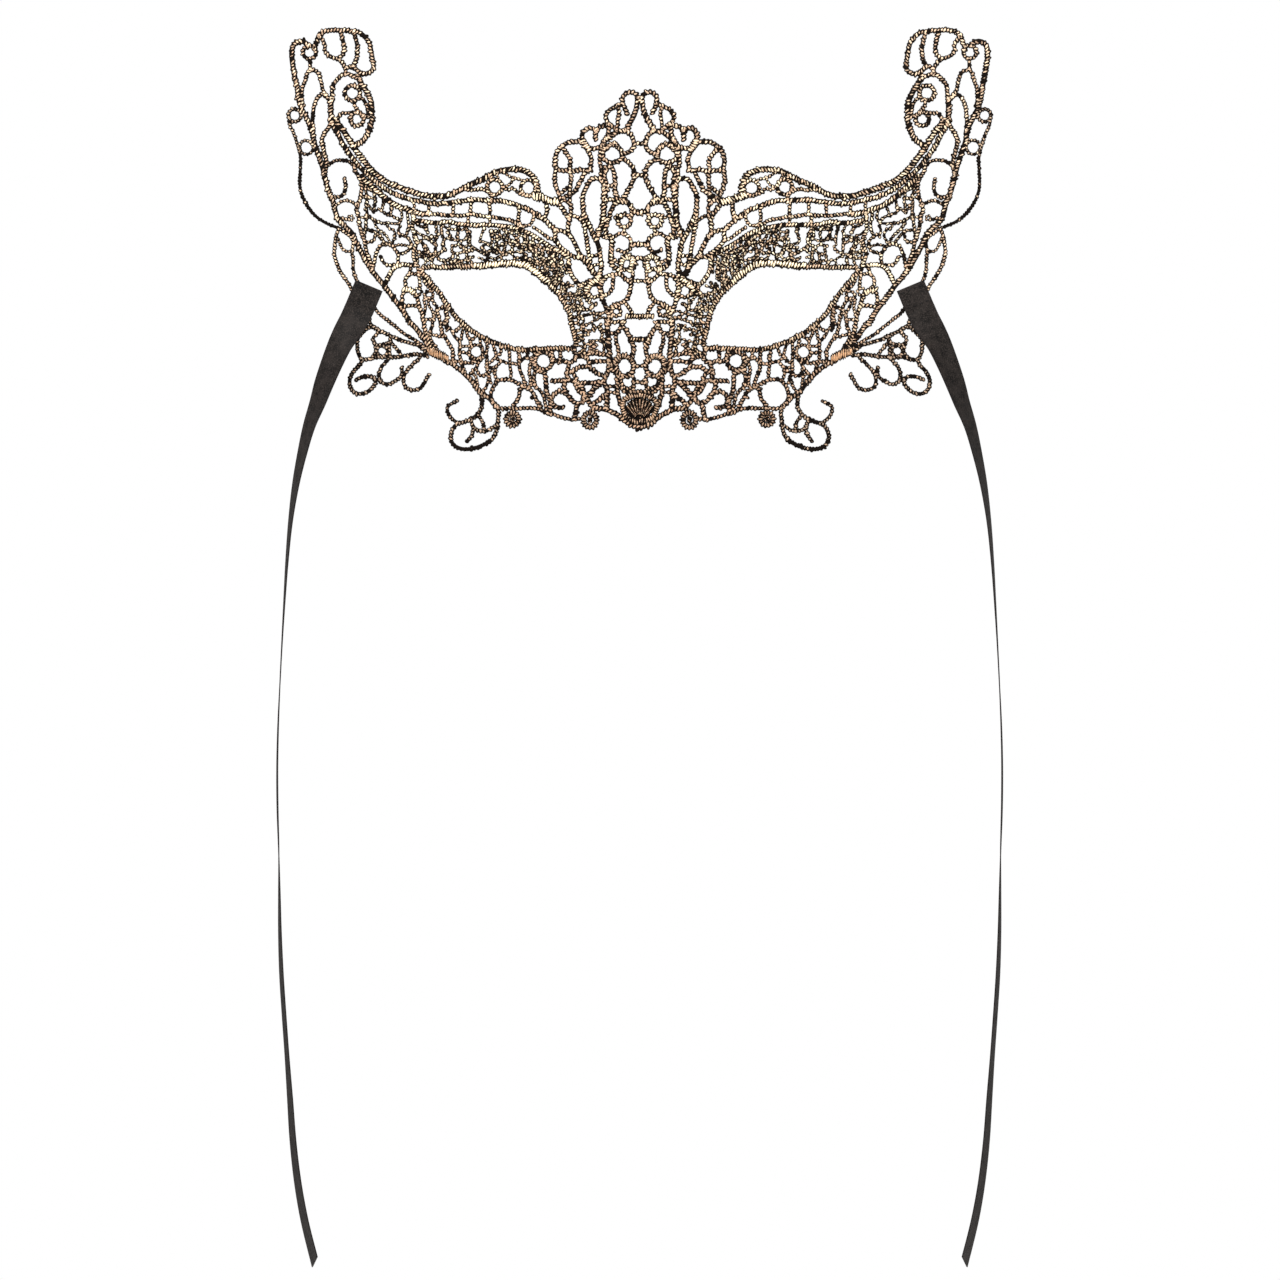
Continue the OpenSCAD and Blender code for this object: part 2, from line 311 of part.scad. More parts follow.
CHIN = [
  [1.7, [15.8, -31.4, 13.7, -31.3, 11.4, -31.7, 9.4, -32.5, 7.6, -33.5, 5.8, -34.8, 4.2, -36.1,
    2.3, -37.1, -0.6, -37.9]],
  [1.7, [11.2, -1.6, 11, -4, 10.7, -6.1, 10.6, -8.6, 10.4, -11.1, 10.2, -13.4, 10.4, -15.7,
    10.5, -17.7, 11.1, -19.7, 12, -21.3, 11.9, -23.2, 11, -24.8, 11.1, -26.8, 11.1, -28.9,
    11.1, -31.4]],
  [1.6, [6.2, -2.9, 4.5, -5, 3.3, -7.1, 2.5, -9.1, 2.1, -11.1, 2.3, -12.9, 3.1, -14.4]],
  [1.3, [10.6, -5.4, 8.6, -5.9, 7.2, -5, 6.2, -3]],
  [1.3, [8.1, -6, 7.9, -9.1, 7.3, -10.6, 7.1, -12.6, 7.4, -15.2]],
  [1.7, [10.5, -16.9, 9.2, -16.2, 8, -15.2]],
  [1.6, [8, -19, 9.4, -18.2, 10.6, -17.4]],
  [1.6, [7.4, -20.4, 7.8, -21.6, 7.4, -22.8, 7.8, -24.3, 7.6, -26, 7, -28, 6.6, -30]],
  [1.1, [11.2, -24, 9.4, -23.8, 7.6, -24]],
  [1, [11.1, -25.9, 9.4, -25.8, 7.4, -26]],
  [1.3, [5.9, -19.9, 6.4, -21.6, 6, -23.2, 4.5, -24.6, 2.6, -24.2, 1.8, -22.6, 2.2, -20.6,
    3.4, -20]],
  [1.2, [6.9, -23.6, 5, -25.8, 2.8, -25.8, -0.6, -25.6]],
  [1.2, [2.2, -22.4, -0.6, -22.4]],
  [1.2, [2.2, -24.8, 1.4, -26.6]]
];
CHIN_LOOPS = [
  [1.7, [4.9, -13.7, 6.5, -14.1, 7.8, -15.4, 8.2, -17.1, 7.7, -18.7, 6.4, -20, 4.7, -20.3,
    3, -19.4, 2.1, -17.6, 2.1, -15.7, 3.1, -14.3], 1]
];

SHELL = [
  [2.2, [0, -26.9, 2, -27, 3.8, -27.5, 5.2, -28.5, 5.8, -30, 5.6, -31.7, 5.1, -33.2, 3.9, -34.7,
    2.1, -35.6, 0, -35.9]],
  [1.1, [4.4, -28, 4.2, -30.4, 3.7, -32.6, 2.6, -35]],
  [1.1, [2.9, -27.5, 2.7, -30, 2.2, -32.5, 1.3, -35.4]],
  [1.1, [1.1, -27.3, 1, -30.4, 0.6, -35.4]]
];

COLUMN = [
  // nose bridge and the leaf pair above it
  [1.7, [13, 6.6, 12.4, 5.4, 11.7, 3.4, 11, 1.8, 10.4, 0.1, 10.6, -2.6]],
  [1.7, [3.1, 12.6, 3.1, 9.9, 3.4, 8, 4.1, 6.4, 5.3, 5.1, 6.7, 4.4, 8.1, 4.1, 9.6, 3.1, 11.2, 1.8]],
  [1.5, [2.3, 0.2, 3, 1.8, 4, 3.4, 5.2, 5]],
  [1.6, [10.6, -1.8, 8.6, -2, 7.1, -1.8, 5.2, -2.2]],
  [1.6, [5.9, -1.8, 6, -4]],
  [1.4, [8.6, 0.4, 10.6, -0.6]],
  [1.6, [13, 11.6, 12.2, 12.6, 11.3, 13.6, 10.3, 14, 8.8, 14, 7.4, 14.5, 6.2, 13.9, 5.2, 13,
    4.2, 12.2, 2.8, 11.8]],
  [1.5, [9, 14.4, 9, 11.8, 9.1, 10.4, 9.6, 9, 10.8, 7.6, 12.4, 6.6]],
  [2, [10.6, 27.4, 9.6, 25.8, 9.5, 23.8, 9.8, 21.9, 9.9, 20, 9.7, 18.3, 8.9, 16.9, 7.6, 16.1,
    6.2, 15.4]],
  [1.3, [7, 14.4, 6.3, 15.8, 6.6, 17.3, 7.6, 18.4, 9.6, 19.6]],
  [2.1, [6.5, 17.6, 6.1, 19.2, 5.2, 20.4, 4, 20.6, 2.7, 20, 1.8, 18.8, 1.9, 17.2, 2.8, 16.1]],
  [1.7, [2.2, 16.4, 4.4, 15.9, 6.4, 16.1]],
  [1.5, [2.9, 16.2, 2.3, 14.2, 2.8, 12]],
  [1.4, [2.2, 19.7, -0.6, 19.7]],
  [1.4, [2.8, 12, -0.6, 12.1]],
  [1.8, [3.2, -7.9, -0.6, -7.9]],
  [1.1, [2.2, -16.9, -0.6, -16.9]],
  // open hook
  [1.5, [10.2, 26.6, 8.6, 27.1, 7.3, 28, 5.7, 28.3, 4.2, 27.4, 3.1, 26, 2.9, 24.3, 3.3, 22.9,
    4.4, 22, 5.7, 21.8, 7.3, 22.6]],
  [1.9, [3, 24.4, -0.6, 24.4]],
  [1.4, [5, 30.4, 5.2, 29.2, 5.6, 27.8]],
  // curl and collar
  [1.3, [6.6, 34.4, 7.6, 34.3, 8.4, 33.5]],
  [1.8, [11.3, 27.2, 11.6, 29.7, 11.3, 31.1, 10.8, 32.6, 10.2, 34, 10, 35.4, 9.4, 36.6, 8.9, 37.6,
    8, 38.6, 6.5, 38.8, 5, 38.8, 3.8, 38.4, 2.7, 37.1, 2.1, 35.8, -0.6, 34.9]],
  [1.7, [12.4, 39.5, 9.1, 39.7, 7.4, 39.7, 5.8, 39.7, 4.4, 39.3]],
  [1.5, [3, 36.8, 2.8, 34.6, 3.2, 33.4]]
];
COLUMN_RINGS = [[5.2, 32.4, 2.2, 1.7], [8, 1.6, 1.6, 1.5]];

COLUMN_UPPER = [
  [1.6, [9.6, 51, 8.9, 49.4, 8.6, 47.9, 8.4, 46.1, 8.4, 44.3, 8.3, 42.5, 7.9, 39.9]],
  [1.6, [6, 53.6, 4.6, 52.8, 3.3, 51.8, 2.3, 50.4, 1.8, 48.9, 1.7, 47.3, 2.5, 45.6, 3.3, 44.1,
    4.2, 42.6, 4.9, 41.2, 5.8, 39.9]],
  [1.3, [2.2, 48, -0.6, 48]],
  [1.4, [2, 58.7, -0.6, 58.7]],
  [1.8, [10.4, 51, 11.4, 49.9, 12, 48.6, 12, 47.1, 11.5, 45.3, 11.3, 43.2]],
  [1.4, [13.3, 57, 13.5, 54.4, 13.6, 52.7, 13.2, 51.1, 13, 49.6, 13.1, 47.9, 13, 45.8]],
  [1, [13.5, 53.2, 11.4, 53]],
  [1, [13.3, 51, 10.4, 50.9]],
  [1, [13, 49.4, 11.5, 49.2]],
  [1.4, [12, 44.3, 9.8, 44.3, 8.2, 44.4]],
  [1.6, [4.8, 63.2, 3.2, 62, 2.3, 60.3, 1.9, 58.7, 2.3, 57.1, 3.3, 56, 4.6, 55.4, 6.2, 55.2]],
  [1.4, [6.1, 54.6, 6.7, 56.7, 7.6, 58.2, 8.9, 58.8, 10.4, 58.4, 12, 57.4]]
];
COLUMN_UPPER_LOOPS = [
  [1.6, [11.9, 56.5, 12.7, 55.3, 12.5, 53.9, 11.7, 53, 10.4, 52.4, 8.6, 52.2, 7.1, 52.8, 6.1, 53.7,
    5.9, 55.2, 6.9, 57.2, 8.9, 58.4, 10.6, 57.8], 1]
];

CREST = [
  [1.6, [0, 73.4, 0.7, 74.6, 1.4, 75.5, 2.4, 76.1, 3.4, 76.2, 4.6, 75.8, 5.5, 75, 5.9, 73.9,
    5.9, 72.7, 5.3, 71.4, 4.8, 70.1, 4.3, 68.9]],
  [1.8, [0.7, 74.1, 0.9, 72.2, 1.2, 70.4, 1.8, 68.6, 2.5, 67.2, 3.3, 65.8, 4.1, 64.4, 4.8, 62.8]],
  [1.5, [5.8, 72.3, 7.4, 71.7, 8.6, 71, 9.9, 70.4, 10.9, 69.4, 11.6, 68.1, 11.4, 66.8, 10.6, 65.6,
    9.3, 64.6, 7.6, 63.4]],
  [1.3, [7.9, 71.6, 7.1, 70.1, 7.1, 68.4, 7.4, 66.6, 7.7, 63.6]],
  [1.8, [12.2, 59.3, 10.7, 60.5, 9.4, 61.4, 8.3, 62.4, 6.9, 62.9, 5.6, 63, 4.2, 63]]
];

CROWN = [
  [1.6, [11.4, 57.2, 12.3, 58.6]],
  [1.6, [10.2, 65.2, 11.7, 64.9, 13.2, 64.5, 14.2, 63.8, 15.2, 62.8]],
  [1.6, [14.7, 62.9, 15.7, 63.7, 16.8, 64, 18.2, 63.6, 19.2, 62.7, 19.6, 61.5, 19.5, 60.1,
    18.9, 58.7, 18, 57.5]],
  [1.6, [18.6, 57.9, 16.8, 56.9, 15.5, 57, 14, 57.3, 12.7, 58.2, 11.7, 59.7, 11, 61.2, 10.6, 62.6,
    10.6, 65]],
  [1.6, [15, 63.4, 15, 61.4, 15, 60]],
  [1.6, [19.2, 59.4, 21, 59.4, 22.6, 59.4, 23.9, 59.2, 25.4, 58.5, 26.9, 57.4, 27.9, 56, 28.6, 54.4,
    28.8, 52.7, 28.6, 51.1, 27.7, 49.9, 26, 49.5, 24.3, 49.6, 22.8, 49.3, 21.8, 49.5, 20.3, 49.9,
    18.4, 49.5, 16.6, 49.8]],
  [1.4, [26.4, 57.6, 24.9, 55.2, 23.8, 53.7, 23.5, 52.2, 23.8, 50.4, 23.6, 49.2, 23.4, 47.6,
    23.4, 45.6, 23.6, 43.8, 23.8, 41.8]],
  [1.5, [17.9, 57.2, 16.9, 54.9, 16.4, 53.4, 16.6, 51.7, 16.8, 49.6]],
  [1.5, [18.5, 49.6, 19.3, 47.6, 20, 46.1, 20.9, 44.6, 21.5, 43, 22.7, 41.9, 24.5, 41.1,
    25.9, 40.2]],
  [1.5, [28.4, 50.5, 28.9, 47.6, 28.8, 45.6, 28.4, 43.8, 27.8, 42.4, 27.2, 40.8, 26.6, 39]],
  [1.3, [24.6, 43.8, 25.9, 42.4, 27.6, 41.6]],
  [1.3, [25.9, 40.4, 25, 39, 23.6, 38.1, 23.3, 36.4, 23.6, 33.2]],
  [1.3, [23.6, 41.9, 23.7, 40.2, 23.8, 38.2]]
];

FOREHEAD = [
  // tall leaf beside the column
  [1.7, [12, 43.6, 12.6, 45.6, 13.8, 46.7, 15.2, 46.9, 16.6, 46.3, 17.5, 45, 18.3, 43.5, 19.1, 41.9,
    19.4, 40, 19.4, 38.3, 19.3, 36.6, 19, 35.1, 18.3, 33.5, 17.6, 31.8, 17, 30.4, 16.3, 28.7,
    15.3, 26.7, 14.4, 25, 13.9, 23.4, 13.6, 21.7, 13.4, 20, 13.2, 18.6, 13, 17.1, 13.4, 15.2,
    14, 13.4]],
  [2, [11.8, 44.2, 11.9, 42.4, 11.9, 41, 12, 39.5, 12.2, 37.8, 12.3, 36.4, 12.2, 35, 12.4, 33.3,
    12.8, 31.6, 13.3, 30.2, 13.8, 28.4, 14.8, 26.4]],
  [1.4, [11.2, 26.6, 12.6, 27.2, 13.9, 28]],
  [1.3, [12.6, 33, 11.4, 32.4, 10.7, 32.6]],
  // second leaf
  [1.5, [19.3, 34.4, 19.3, 32, 18.6, 30.4, 18.5, 28.7, 18.1, 26.9, 17.9, 25, 17.6, 23.4,
    17.4, 21.9, 17.1, 20.3, 16.6, 18.4]],
  [1.2, [17.4, 20.5, 15.8, 20.5, 13.4, 20.7]],
  [1.2, [16.4, 17, 14.8, 17.6, 13.1, 17.5]],
  // left leaves
  [1.3, [23.4, 34.3, 21.7, 33.9, 20.5, 33, 19.1, 32.3]],
  [1.6, [28, 38.7, 26.7, 37.3, 25.7, 35.7, 24.8, 34.3, 24.1, 33, 24.2, 31.4, 24.4, 29.7, 24, 28.1,
    23, 26.6, 22.2, 25, 21.4, 23.5, 20.8, 21.9, 20.3, 20.4]],
  [1.6, [31.6, 38.6, 31.6, 37.1, 31.5, 35.4, 32.3, 33.2, 31.2, 31.7, 29.9, 30.5, 28.8, 29.2,
    28.7, 27.4, 28.8, 26, 27.8, 24.6, 26.4, 23, 24.8, 21.7, 23.2, 20.6, 21.8, 20.2, 19.8, 20.2]],
  [1.5, [29, 29.4, 27.6, 29.3, 26.2, 29.1, 24.9, 28.3, 23.7, 27.2]],
  [2.1, [20.7, 20.7, 19.1, 19.3, 17.7, 18, 16.7, 16.8, 16, 15.2, 14.4, 13.6]],
  [2, [19.9, 10.6, 17.8, 11.3, 16, 12.1, 14.3, 13.1, 13.4, 13.9]],
  [1.8, [18.4, 11, 18, 9.2, 17.3, 7]],
  [2, [13.4, 13.6, 13.2, 11.8, 13.4, 9.9, 13.1, 8.4, 12.7, 7.2, 12.9, 6]]
];
FOREHEAD_RINGS = [[15.3, 8.6, 2.2, 1.3]];

CHEEK_FAN = [
  [1.5, [91.9, -0.9, 91.6, -2.6, 90, -3.8, 88.3, -5, 86.1, -5.9, 83.8, -7.1, 81.6, -8, 79.6, -8.6,
    77.4, -9.3, 75.4, -9.8, 73.8, -11, 72, -12.4]],
  [1.5, [91, -3.6, 92.4, -3.9, 93.6, -5, 95, -6.4, 96, -8, 96, -10, 95.9, -11.7, 95.3, -13.4,
    94.2, -14.8, 91.6, -14.4, 89.4, -13.8, 87.2, -13.9, 85, -13.9, 82.7, -13.8, 80.8, -13.6,
    78.8, -13.3, 76.8, -12.9, 74.9, -13, 72.2, -13.4]],
  [1.3, [88.6, -4.6, 89.4, -6.2, 90.4, -7, 90.6, -8.4, 89.9, -9.6, 88.3, -9.7, 86.6, -9.4,
    85.1, -8.8, 84.5, -6.9]],
  [1.3, [84.6, -8.7, 83, -10.6, 81.6, -12.2, 80.8, -13.8]],
  [1.2, [85.3, -9, 85, -11.1, 84.8, -13.9]],
  [1.2, [90.1, -9.4, 89.7, -11.7, 90.4, -13.2, 91.4, -14.6]],
  [1.5, [94.4, -14.4, 95, -16.4, 96.4, -17.8, 97.6, -19.2, 98.4, -20.9, 98.6, -22.6, 98.2, -24.5,
    96.9, -25.9, 95, -26.4, 92.9, -25.9, 91.3, -24.7, 90.1, -23.3, 89.6, -21.9, 90.5, -20.8,
    91.9, -20.4, 93.4, -20.4, 95, -20.9, 96.4, -21.5]],
  [1.4, [84.6, -13.6, 86.1, -15.4, 87.5, -16.8, 88.3, -18.4, 88.6, -20.1, 88.3, -21.7, 87.2, -22.8,
    85.5, -23.1, 83.8, -22.4, 82.2, -21.4, 81, -20.3, 80.8, -18.7, 80.8, -17.4]],
  [1.4, [74.2, -13.2, 75.2, -14.6, 76.7, -15.8, 78, -17.3, 79.3, -18.7, 80.1, -20.3, 80.3, -22,
    79.8, -23.8, 78.5, -24.8, 76.8, -25.1, 74.8, -24.6, 73.5, -23.2, 72.6, -21.5, 71.6, -19.8]],
  [1.4, [89.9, -21.4, 88.4, -21.6]]
];
CHEEK_FAN_RINGS = [[87.5, -11.8, 1.8, 1.2]];

LOWER_SCROLL = [
  [1.5, [48.4, -30.2, 48, -32.5, 48.1, -34.7, 48.4, -36.8, 48.7, -38.7, 49.3, -40.6, 50.5, -42.1,
    52.2, -43.2, 54.3, -44.2, 56.5, -44.9, 59.1, -45.2, 61.4, -44.8, 63.2, -43.7, 64.2, -41.9,
    64.1, -39.8, 63.4, -38.1, 62.3, -36.8, 60.8, -36.2, 59.1, -35.7, 57.5, -35.1, 56, -34.1,
    54.6, -32.8, 53.7, -30.9, 53.6, -29.1, 54, -26.4]],
  [1.3, [61.9, -36.2, 63.4, -35.2, 64.7, -33.7, 65.4, -32.2, 65.3, -30.8, 64.3, -29.9, 62, -28.8]],
  [1.4, [57.7, -34.7, 56.9, -36.8, 56.5, -38.7, 57, -40.3, 57.8, -41.5, 58.6, -42.5]],
  [1.3, [56.6, -37.2, 55.9, -38.3, 54.5, -38.9, 52.7, -39, 51.1, -38.6, 49.8, -37.6, 48.2, -37]],
  [1.3, [55, -33.6, 53.6, -35.5, 53, -37.1, 52.9, -39.2]]
];

// net bands: edge tables that the computed grids run between
BROW_TOP = [76.4, 33, 71, 31.6, 64, 31.8, 58, 30.8, 50.5, 30.8, 44.7, 30.2, 39.3, 28.7, 35.1, 26.5,
  30.9, 24, 27.8, 22.2, 25.1, 20.4];
BROW_LOW = [75.6, 17.2, 70, 17, 64, 16.9, 58, 17.2, 51, 17.5, 45, 18.1, 39.8, 17.4, 36.4, 15.8,
  33.6, 13.4, 31.4, 11.4, 29.4, 9.6];
INNER_A = [24.2, 18.6, 23.4, 14.5, 20.6, 10.6, 18.6, 8.4, 16.8, 5.4, 14, 3.6, 11.6, 1.4, 10.6, -2,
  10.8, -5.4, 10.8, -9, 10.5, -13.4];
INNER_B = [29.6, 9.8, 28.6, 8.5, 27.6, 7.4, 26.4, 5.6, 25.4, 3.8, 24.6, 2.2, 23.8, 0.4, 23.2, -2,
  22.9, -4.6, 22.2, -7.4, 20.4, -12.4];

// ---------------------------------------------------------------- functions

function pts(f, s) = [for (i = [0 : 2 : len(f) - 2]) [-s * f[i], f[i + 1]]];

function cubic(a, b, c, d, t) =
  0.5 * (2 * b + (c - a) * t + (2 * a - 5 * b + 4 * c - d) * t * t
    + (3 * b - a - 3 * c + d) * t * t * t);

function open_curve(p, k) = let (n = len(p))
  [for (i = [0 : n - 2], j = [0 : k - 1])
      cubic(p[max(i - 1, 0)], p[i], p[i + 1], p[min(i + 2, n - 1)], j / k), p[n - 1]];

function loop_curve(p, k) = let (n = len(p))
  [for (i = [0 : n - 1], j = [0 : k - 1])
      cubic(p[(i + n - 1) % n], p[i], p[(i + 1) % n], p[(i + 2) % n], j / k)];

function across(p, q) = let (d = q - p) [-d[1], d[0]] / norm(d);

function shifted(p, h) = let (n = len(p))
  [for (i = [0 : n - 1])
      let (a = across(p[max(i - 1, 0)], p[max(i, 1)]),
        b = across(p[min(i, n - 2)], p[min(i + 1, n - 1)]), m = (a + b) / 2)
      p[i] + m * h / max(m * m, 0.6)];

function shifted_loop(p, h) = let (n = len(p))
  [for (i = [0 : n - 1])
      let (a = across(p[(i + n - 1) % n], p[i]), b = across(p[i], p[(i + 1) % n]), m = (a + b) / 2)
      p[i] + m * h / max(m * m, 0.6)];

function reversed(p) = [for (i = [len(p) - 1 : -1 : 0]) p[i]];

function chance(i, j, k) = let (v = sin(i * 127.1 + j * 311.7 + k * 74.7) * 4375.85) v - floor(v);

function along(p, t) = let (n = len(p) - 1, x = t * n, i = min(floor(x), n - 1))
  p[i] + (p[i + 1] - p[i]) * (x - i);

// knot i, j of a net of n by m cells between two edges
function knot(a, b, n, m, i, j, k) =
  let (free = (j > 0 && j < m) ? 1 : 0,
    x = (i + free * net_jitter * (2 * chance(i, j, k) - 1)) / n,
    y = (j + free * net_jitter * (2 * chance(j, i, k + 5) - 1)) / m,
    t = min(max(x, 0), 1))
  along(a, t) * (1 - y) + along(b, t) * y;

// ---------------------------------------------------------------- flat building blocks

module stroke(item, s)
{
  p = open_curve(pts(item[1], s), smooth_steps);
  h = item[0] * cord_scale / 2;
  polygon(concat(shifted(p, h), reversed(shifted(p, -h))));
}

module loop(item, s)
{
  p = loop_curve(pts(item[1], s), smooth_steps);
  h = item[0] * cord_scale / 2;
  difference() {
    polygon(shifted_loop(p, s * h));
    polygon(shifted_loop(p, -s * h));
  }
}

module ring(r, s)
{
  h = r[3] * cord_scale / 2;
  translate([-s * r[0], r[1]])
    difference() {
      circle(r = r[2] + h);
      circle(r = max(r[2] - h, 0.3));
    }
}

module plate(depth)
{
  rotate([90, 0, 0])
    linear_extrude(depth)
      children();
}

module cords(list, rings, s, depth, loops = [])
{
  plate(depth) {
    for (item = list)
      stroke(item, s);
    for (item = loops)
      loop(item, s);
    for (r = rings)
      ring(r, s);
  }
}

module bar(p, q, w)
{
  d = (q - p) / norm(q - p) * w * 0.3;
  polygon(concat(shifted([p - d, q + d], w / 2), reversed(shifted([p - d, q + d], -w / 2))));
}

module net(fa, fb, n, m, k, s)
{
  a = pts(fa, s);
  b = pts(fb, s);
  w = net_width * cord_scale;
  // wandering rows
  for (j = [1 : m - 1]) {
    p = [for (i = [0 : n]) knot(a, b, n, m, i, j, k)];
    polygon(concat(shifted(p, w / 2), reversed(shifted(p, -w / 2))));
  }
  // cross links, some left out
  for (i = [0 : n], j = [0 : m - 1])
    if (chance(i + 3, j + 7, k + 11) > 0.16)
      bar(knot(a, b, n, m, i, j, k), knot(a, b, n, m, i, j + 1, k), w);
}

// ---------------------------------------------------------------- colours

gold = [0.80, 0.63, 0.42];
pale = [0.90, 0.78, 0.55];
bronze = [0.62, 0.44, 0.31];
dark = [0.36, 0.27, 0.21];
satin_black = [0.17, 0.16, 0.16];
thread_black = [0.10, 0.10, 0.10];

// ---------------------------------------------------------------- lace, centre

module centre_column()
{
  color(gold)
    plate(cord_depth)
      for (s = [LEFT, RIGHT]) {
        for (item = COLUMN)
          stroke(item, s);
        for (r = COLUMN_RINGS)
          ring(r, s);
      }
  // thick satin bridge that carries the origin
  color(pale)
    plate(satin_depth)
      translate([-4.2, -1])
        square([8.4, 2]);
}

module column_top()
{
  color(gold)
    plate(cord_depth)
      for (s = [LEFT, RIGHT]) {
        for (item = COLUMN_UPPER)
          stroke(item, s);
        loop(COLUMN_UPPER_LOOPS[0], s);
      }
}

module crown_crest()
{
  color(pale)
    plate(cord_depth)
      for (s = [LEFT, RIGHT], item = CREST)
        stroke(item, s);
}

module chin_lace()
{
  color(bronze)
    plate(cord_depth)
      for (s = [LEFT, RIGHT]) {
        for (item = CHIN)
          stroke(item, s);
        loop(CHIN_LOOPS[0], s);
      }
}

module nose_medallion()
{
  color(bronze)
    plate(satin_depth)
      for (s = [LEFT, RIGHT], item = SHELL)
        stroke(item, s);
}

// ---------------------------------------------------------------- lace, by side

module wing_tip(s) { color(bronze) cords(WING_TIP, WING_TIP_RINGS, s, cord_depth); }
module wing_inner(s)
{
  color(bronze) cords(WING_INNER, WING_INNER_RINGS, s, cord_depth);
  color(dark) plate(cord_depth) translate([-s * 103, 67]) circle(r = 1.1);
}
module temple_spine(s) { color(bronze) cords(SPINE, [], s, cord_depth); }
module temple_loop(s) { color(dark) cords(TEMPLE_LOOP, TEMPLE_LOOP_RINGS, s, cord_depth); }
module temple_curls(s) { color(bronze) cords(TEMPLE_CURLS, TEMPLE_CURLS_RINGS, s, cord_depth); }
module temple_leaf(s) { color(bronze) cords(TEMPLE_LEAF, [], s, cord_depth); }
module temple_hook(s) { color(gold) cords(TEMPLE_HOOK, TEMPLE_HOOK_RINGS, s, cord_depth); }
module wing_root(s) { color(dark) cords(WING_ROOT, [], s, net_depth); }
module brow_edge(s)
{
  color(gold) cords(BROW_EDGE, BROW_EDGE_RINGS, s, cord_depth);
  color(pale) plate(satin_depth) stroke([2.9, [35.9, 41, 34.2, 40.6, 32.4, 40, 30.4, 39.3, 28, 38.7]], s);
}
module brow_band(s) { color(gold) cords(BROW_BAND, [], s, cord_depth); }
module brow_net(s)
{
  color(pale) cords(BROW_NET_EDGE, [], s, cord_depth);
  color(dark) plate(net_depth) net(BROW_TOP, BROW_LOW, 19, 5, 2, s);
}
module eye_rim(s) { color(gold) cords([], [], s, cord_depth, EYE_RIM); }
module inner_net(s) { color(dark) plate(net_depth) net(INNER_A, INNER_B, 13, 4, 9, s); }
module cheek_net(s) { color(bronze) cords(CHEEK_NET, CHEEK_NET_RINGS, s, net_depth); }
module cheek_edge(s) { color(bronze) cords(CHEEK_EDGE, [], s, cord_depth); }
module nose_lace(s) { color(bronze) cords(NOSE_LACE, NOSE_LACE_RINGS, s, cord_depth); }
module crown_scrolls(s)
{
  color(gold) cords(CROWN, [], s, cord_depth);
  color(pale) plate(satin_depth) stroke([2.4, [19.3, 59.6, 18.4, 57.9, 17.2, 56.6]], s);
}
module forehead_leaves(s) { color(gold) cords(FOREHEAD, FOREHEAD_RINGS, s, cord_depth); }
module cheek_fan(s) { color(dark) cords(CHEEK_FAN, CHEEK_FAN_RINGS, s, cord_depth); }
module lower_scroll(s)
{
  color(dark) cords(LOWER_SCROLL, [], s, cord_depth);
  color(bronze) plate(satin_depth) translate([-s * 61.7, -36.3]) circle(r = 1.5);
}

// oblong satin block where the cheek fan's cords gather
module fan_root(s)
{
  color(pale)
    plate(satin_depth)
      polygon([for (p = [[72.6, -12.9], [70.6, -11], [68.6, -11], [66, -12.8], [64.6, -14.4],
          [65, -16], [68, -15.8], [70.6, -14.6], [72.4, -14]]) [-s * p[0], p[1]]]);
}

// round berry of knotted cord, with a sunk eye
module berry(s, u, z, r)
{
  translate([-s * u, 0, z])
    rotate([90, 0, 0])
      difference() {
        union() {
          cylinder(r = r, h = satin_depth);
          for (i = [0 : 8])
            rotate(i * 40)
              translate([r - 0.35, 0, 0])
                cylinder(r = 0.75, h = satin_depth - 0.2, $fn = 12);
        }
        translate([0, 0, satin_depth - 0.7])
          cylinder(r = r * 0.42, h = 1);
      }
}
module berry_inner(s) { color(bronze) berry(s, 16.8, -35.3, 2.7); }
module berry_outer(s) { color(bronze) berry(s, 43.2, -34.9, 2.8); }

// ---------------------------------------------------------------- ribbons

// centre line stations of a ribbon: u, z and its turn about its own length, in degrees
RIBBON = [
  [95.5, 1.9, 2], [97.1, -1.6, 8], [99.6, -6, 20], [101.8, -10.2, 31], [104.5, -16.6, 39],
  [107, -23.2, 45.5], [109.1, -29.6, 53.5], [111.9, -37.4, 62], [114.1, -46, 67.5],
  [116.4, -57, 73], [118.2, -69.6, 78.3], [119.4, -83, 81.3], [120.3, -97, 83.5],
  [121.1, -111, 85], [121.8, -125, 85.7], [122.4, -139, 86.8], [122.7, -153, 87.3],
  [122.6, -167, 87.3], [122.2, -181, 86], [122, -195, 83], [121.8, -209, 80.5],
  [121.3, -223, 78.7], [120.4, -237, 78.3], [119.4, -251, 78], [118.4, -265, 75.8],
  [117.4, -279.5, 74], [115.8, -293.5, 72.5], [113.5, -306.5, 71], [110.5, -318.7, 70]
];

// front of the lace, with the ribbon's clearance, turned ribbon included
function depth_at(turn) = cord_depth + ribbon_thick / 2 + 0.05 + (ribbon_clear + ribbon_width / 2
  * sin(turn)) * min(turn / 10, 1);

function heading(i) = let (n = len(RIBBON) - 1, a = RIBBON[max(i - 1, 0)],
    b = RIBBON[min(i + 1, n)]) [b[0] - a[0], b[1] - a[1]] / norm([b[0] - a[0], b[1] - a[1]]);

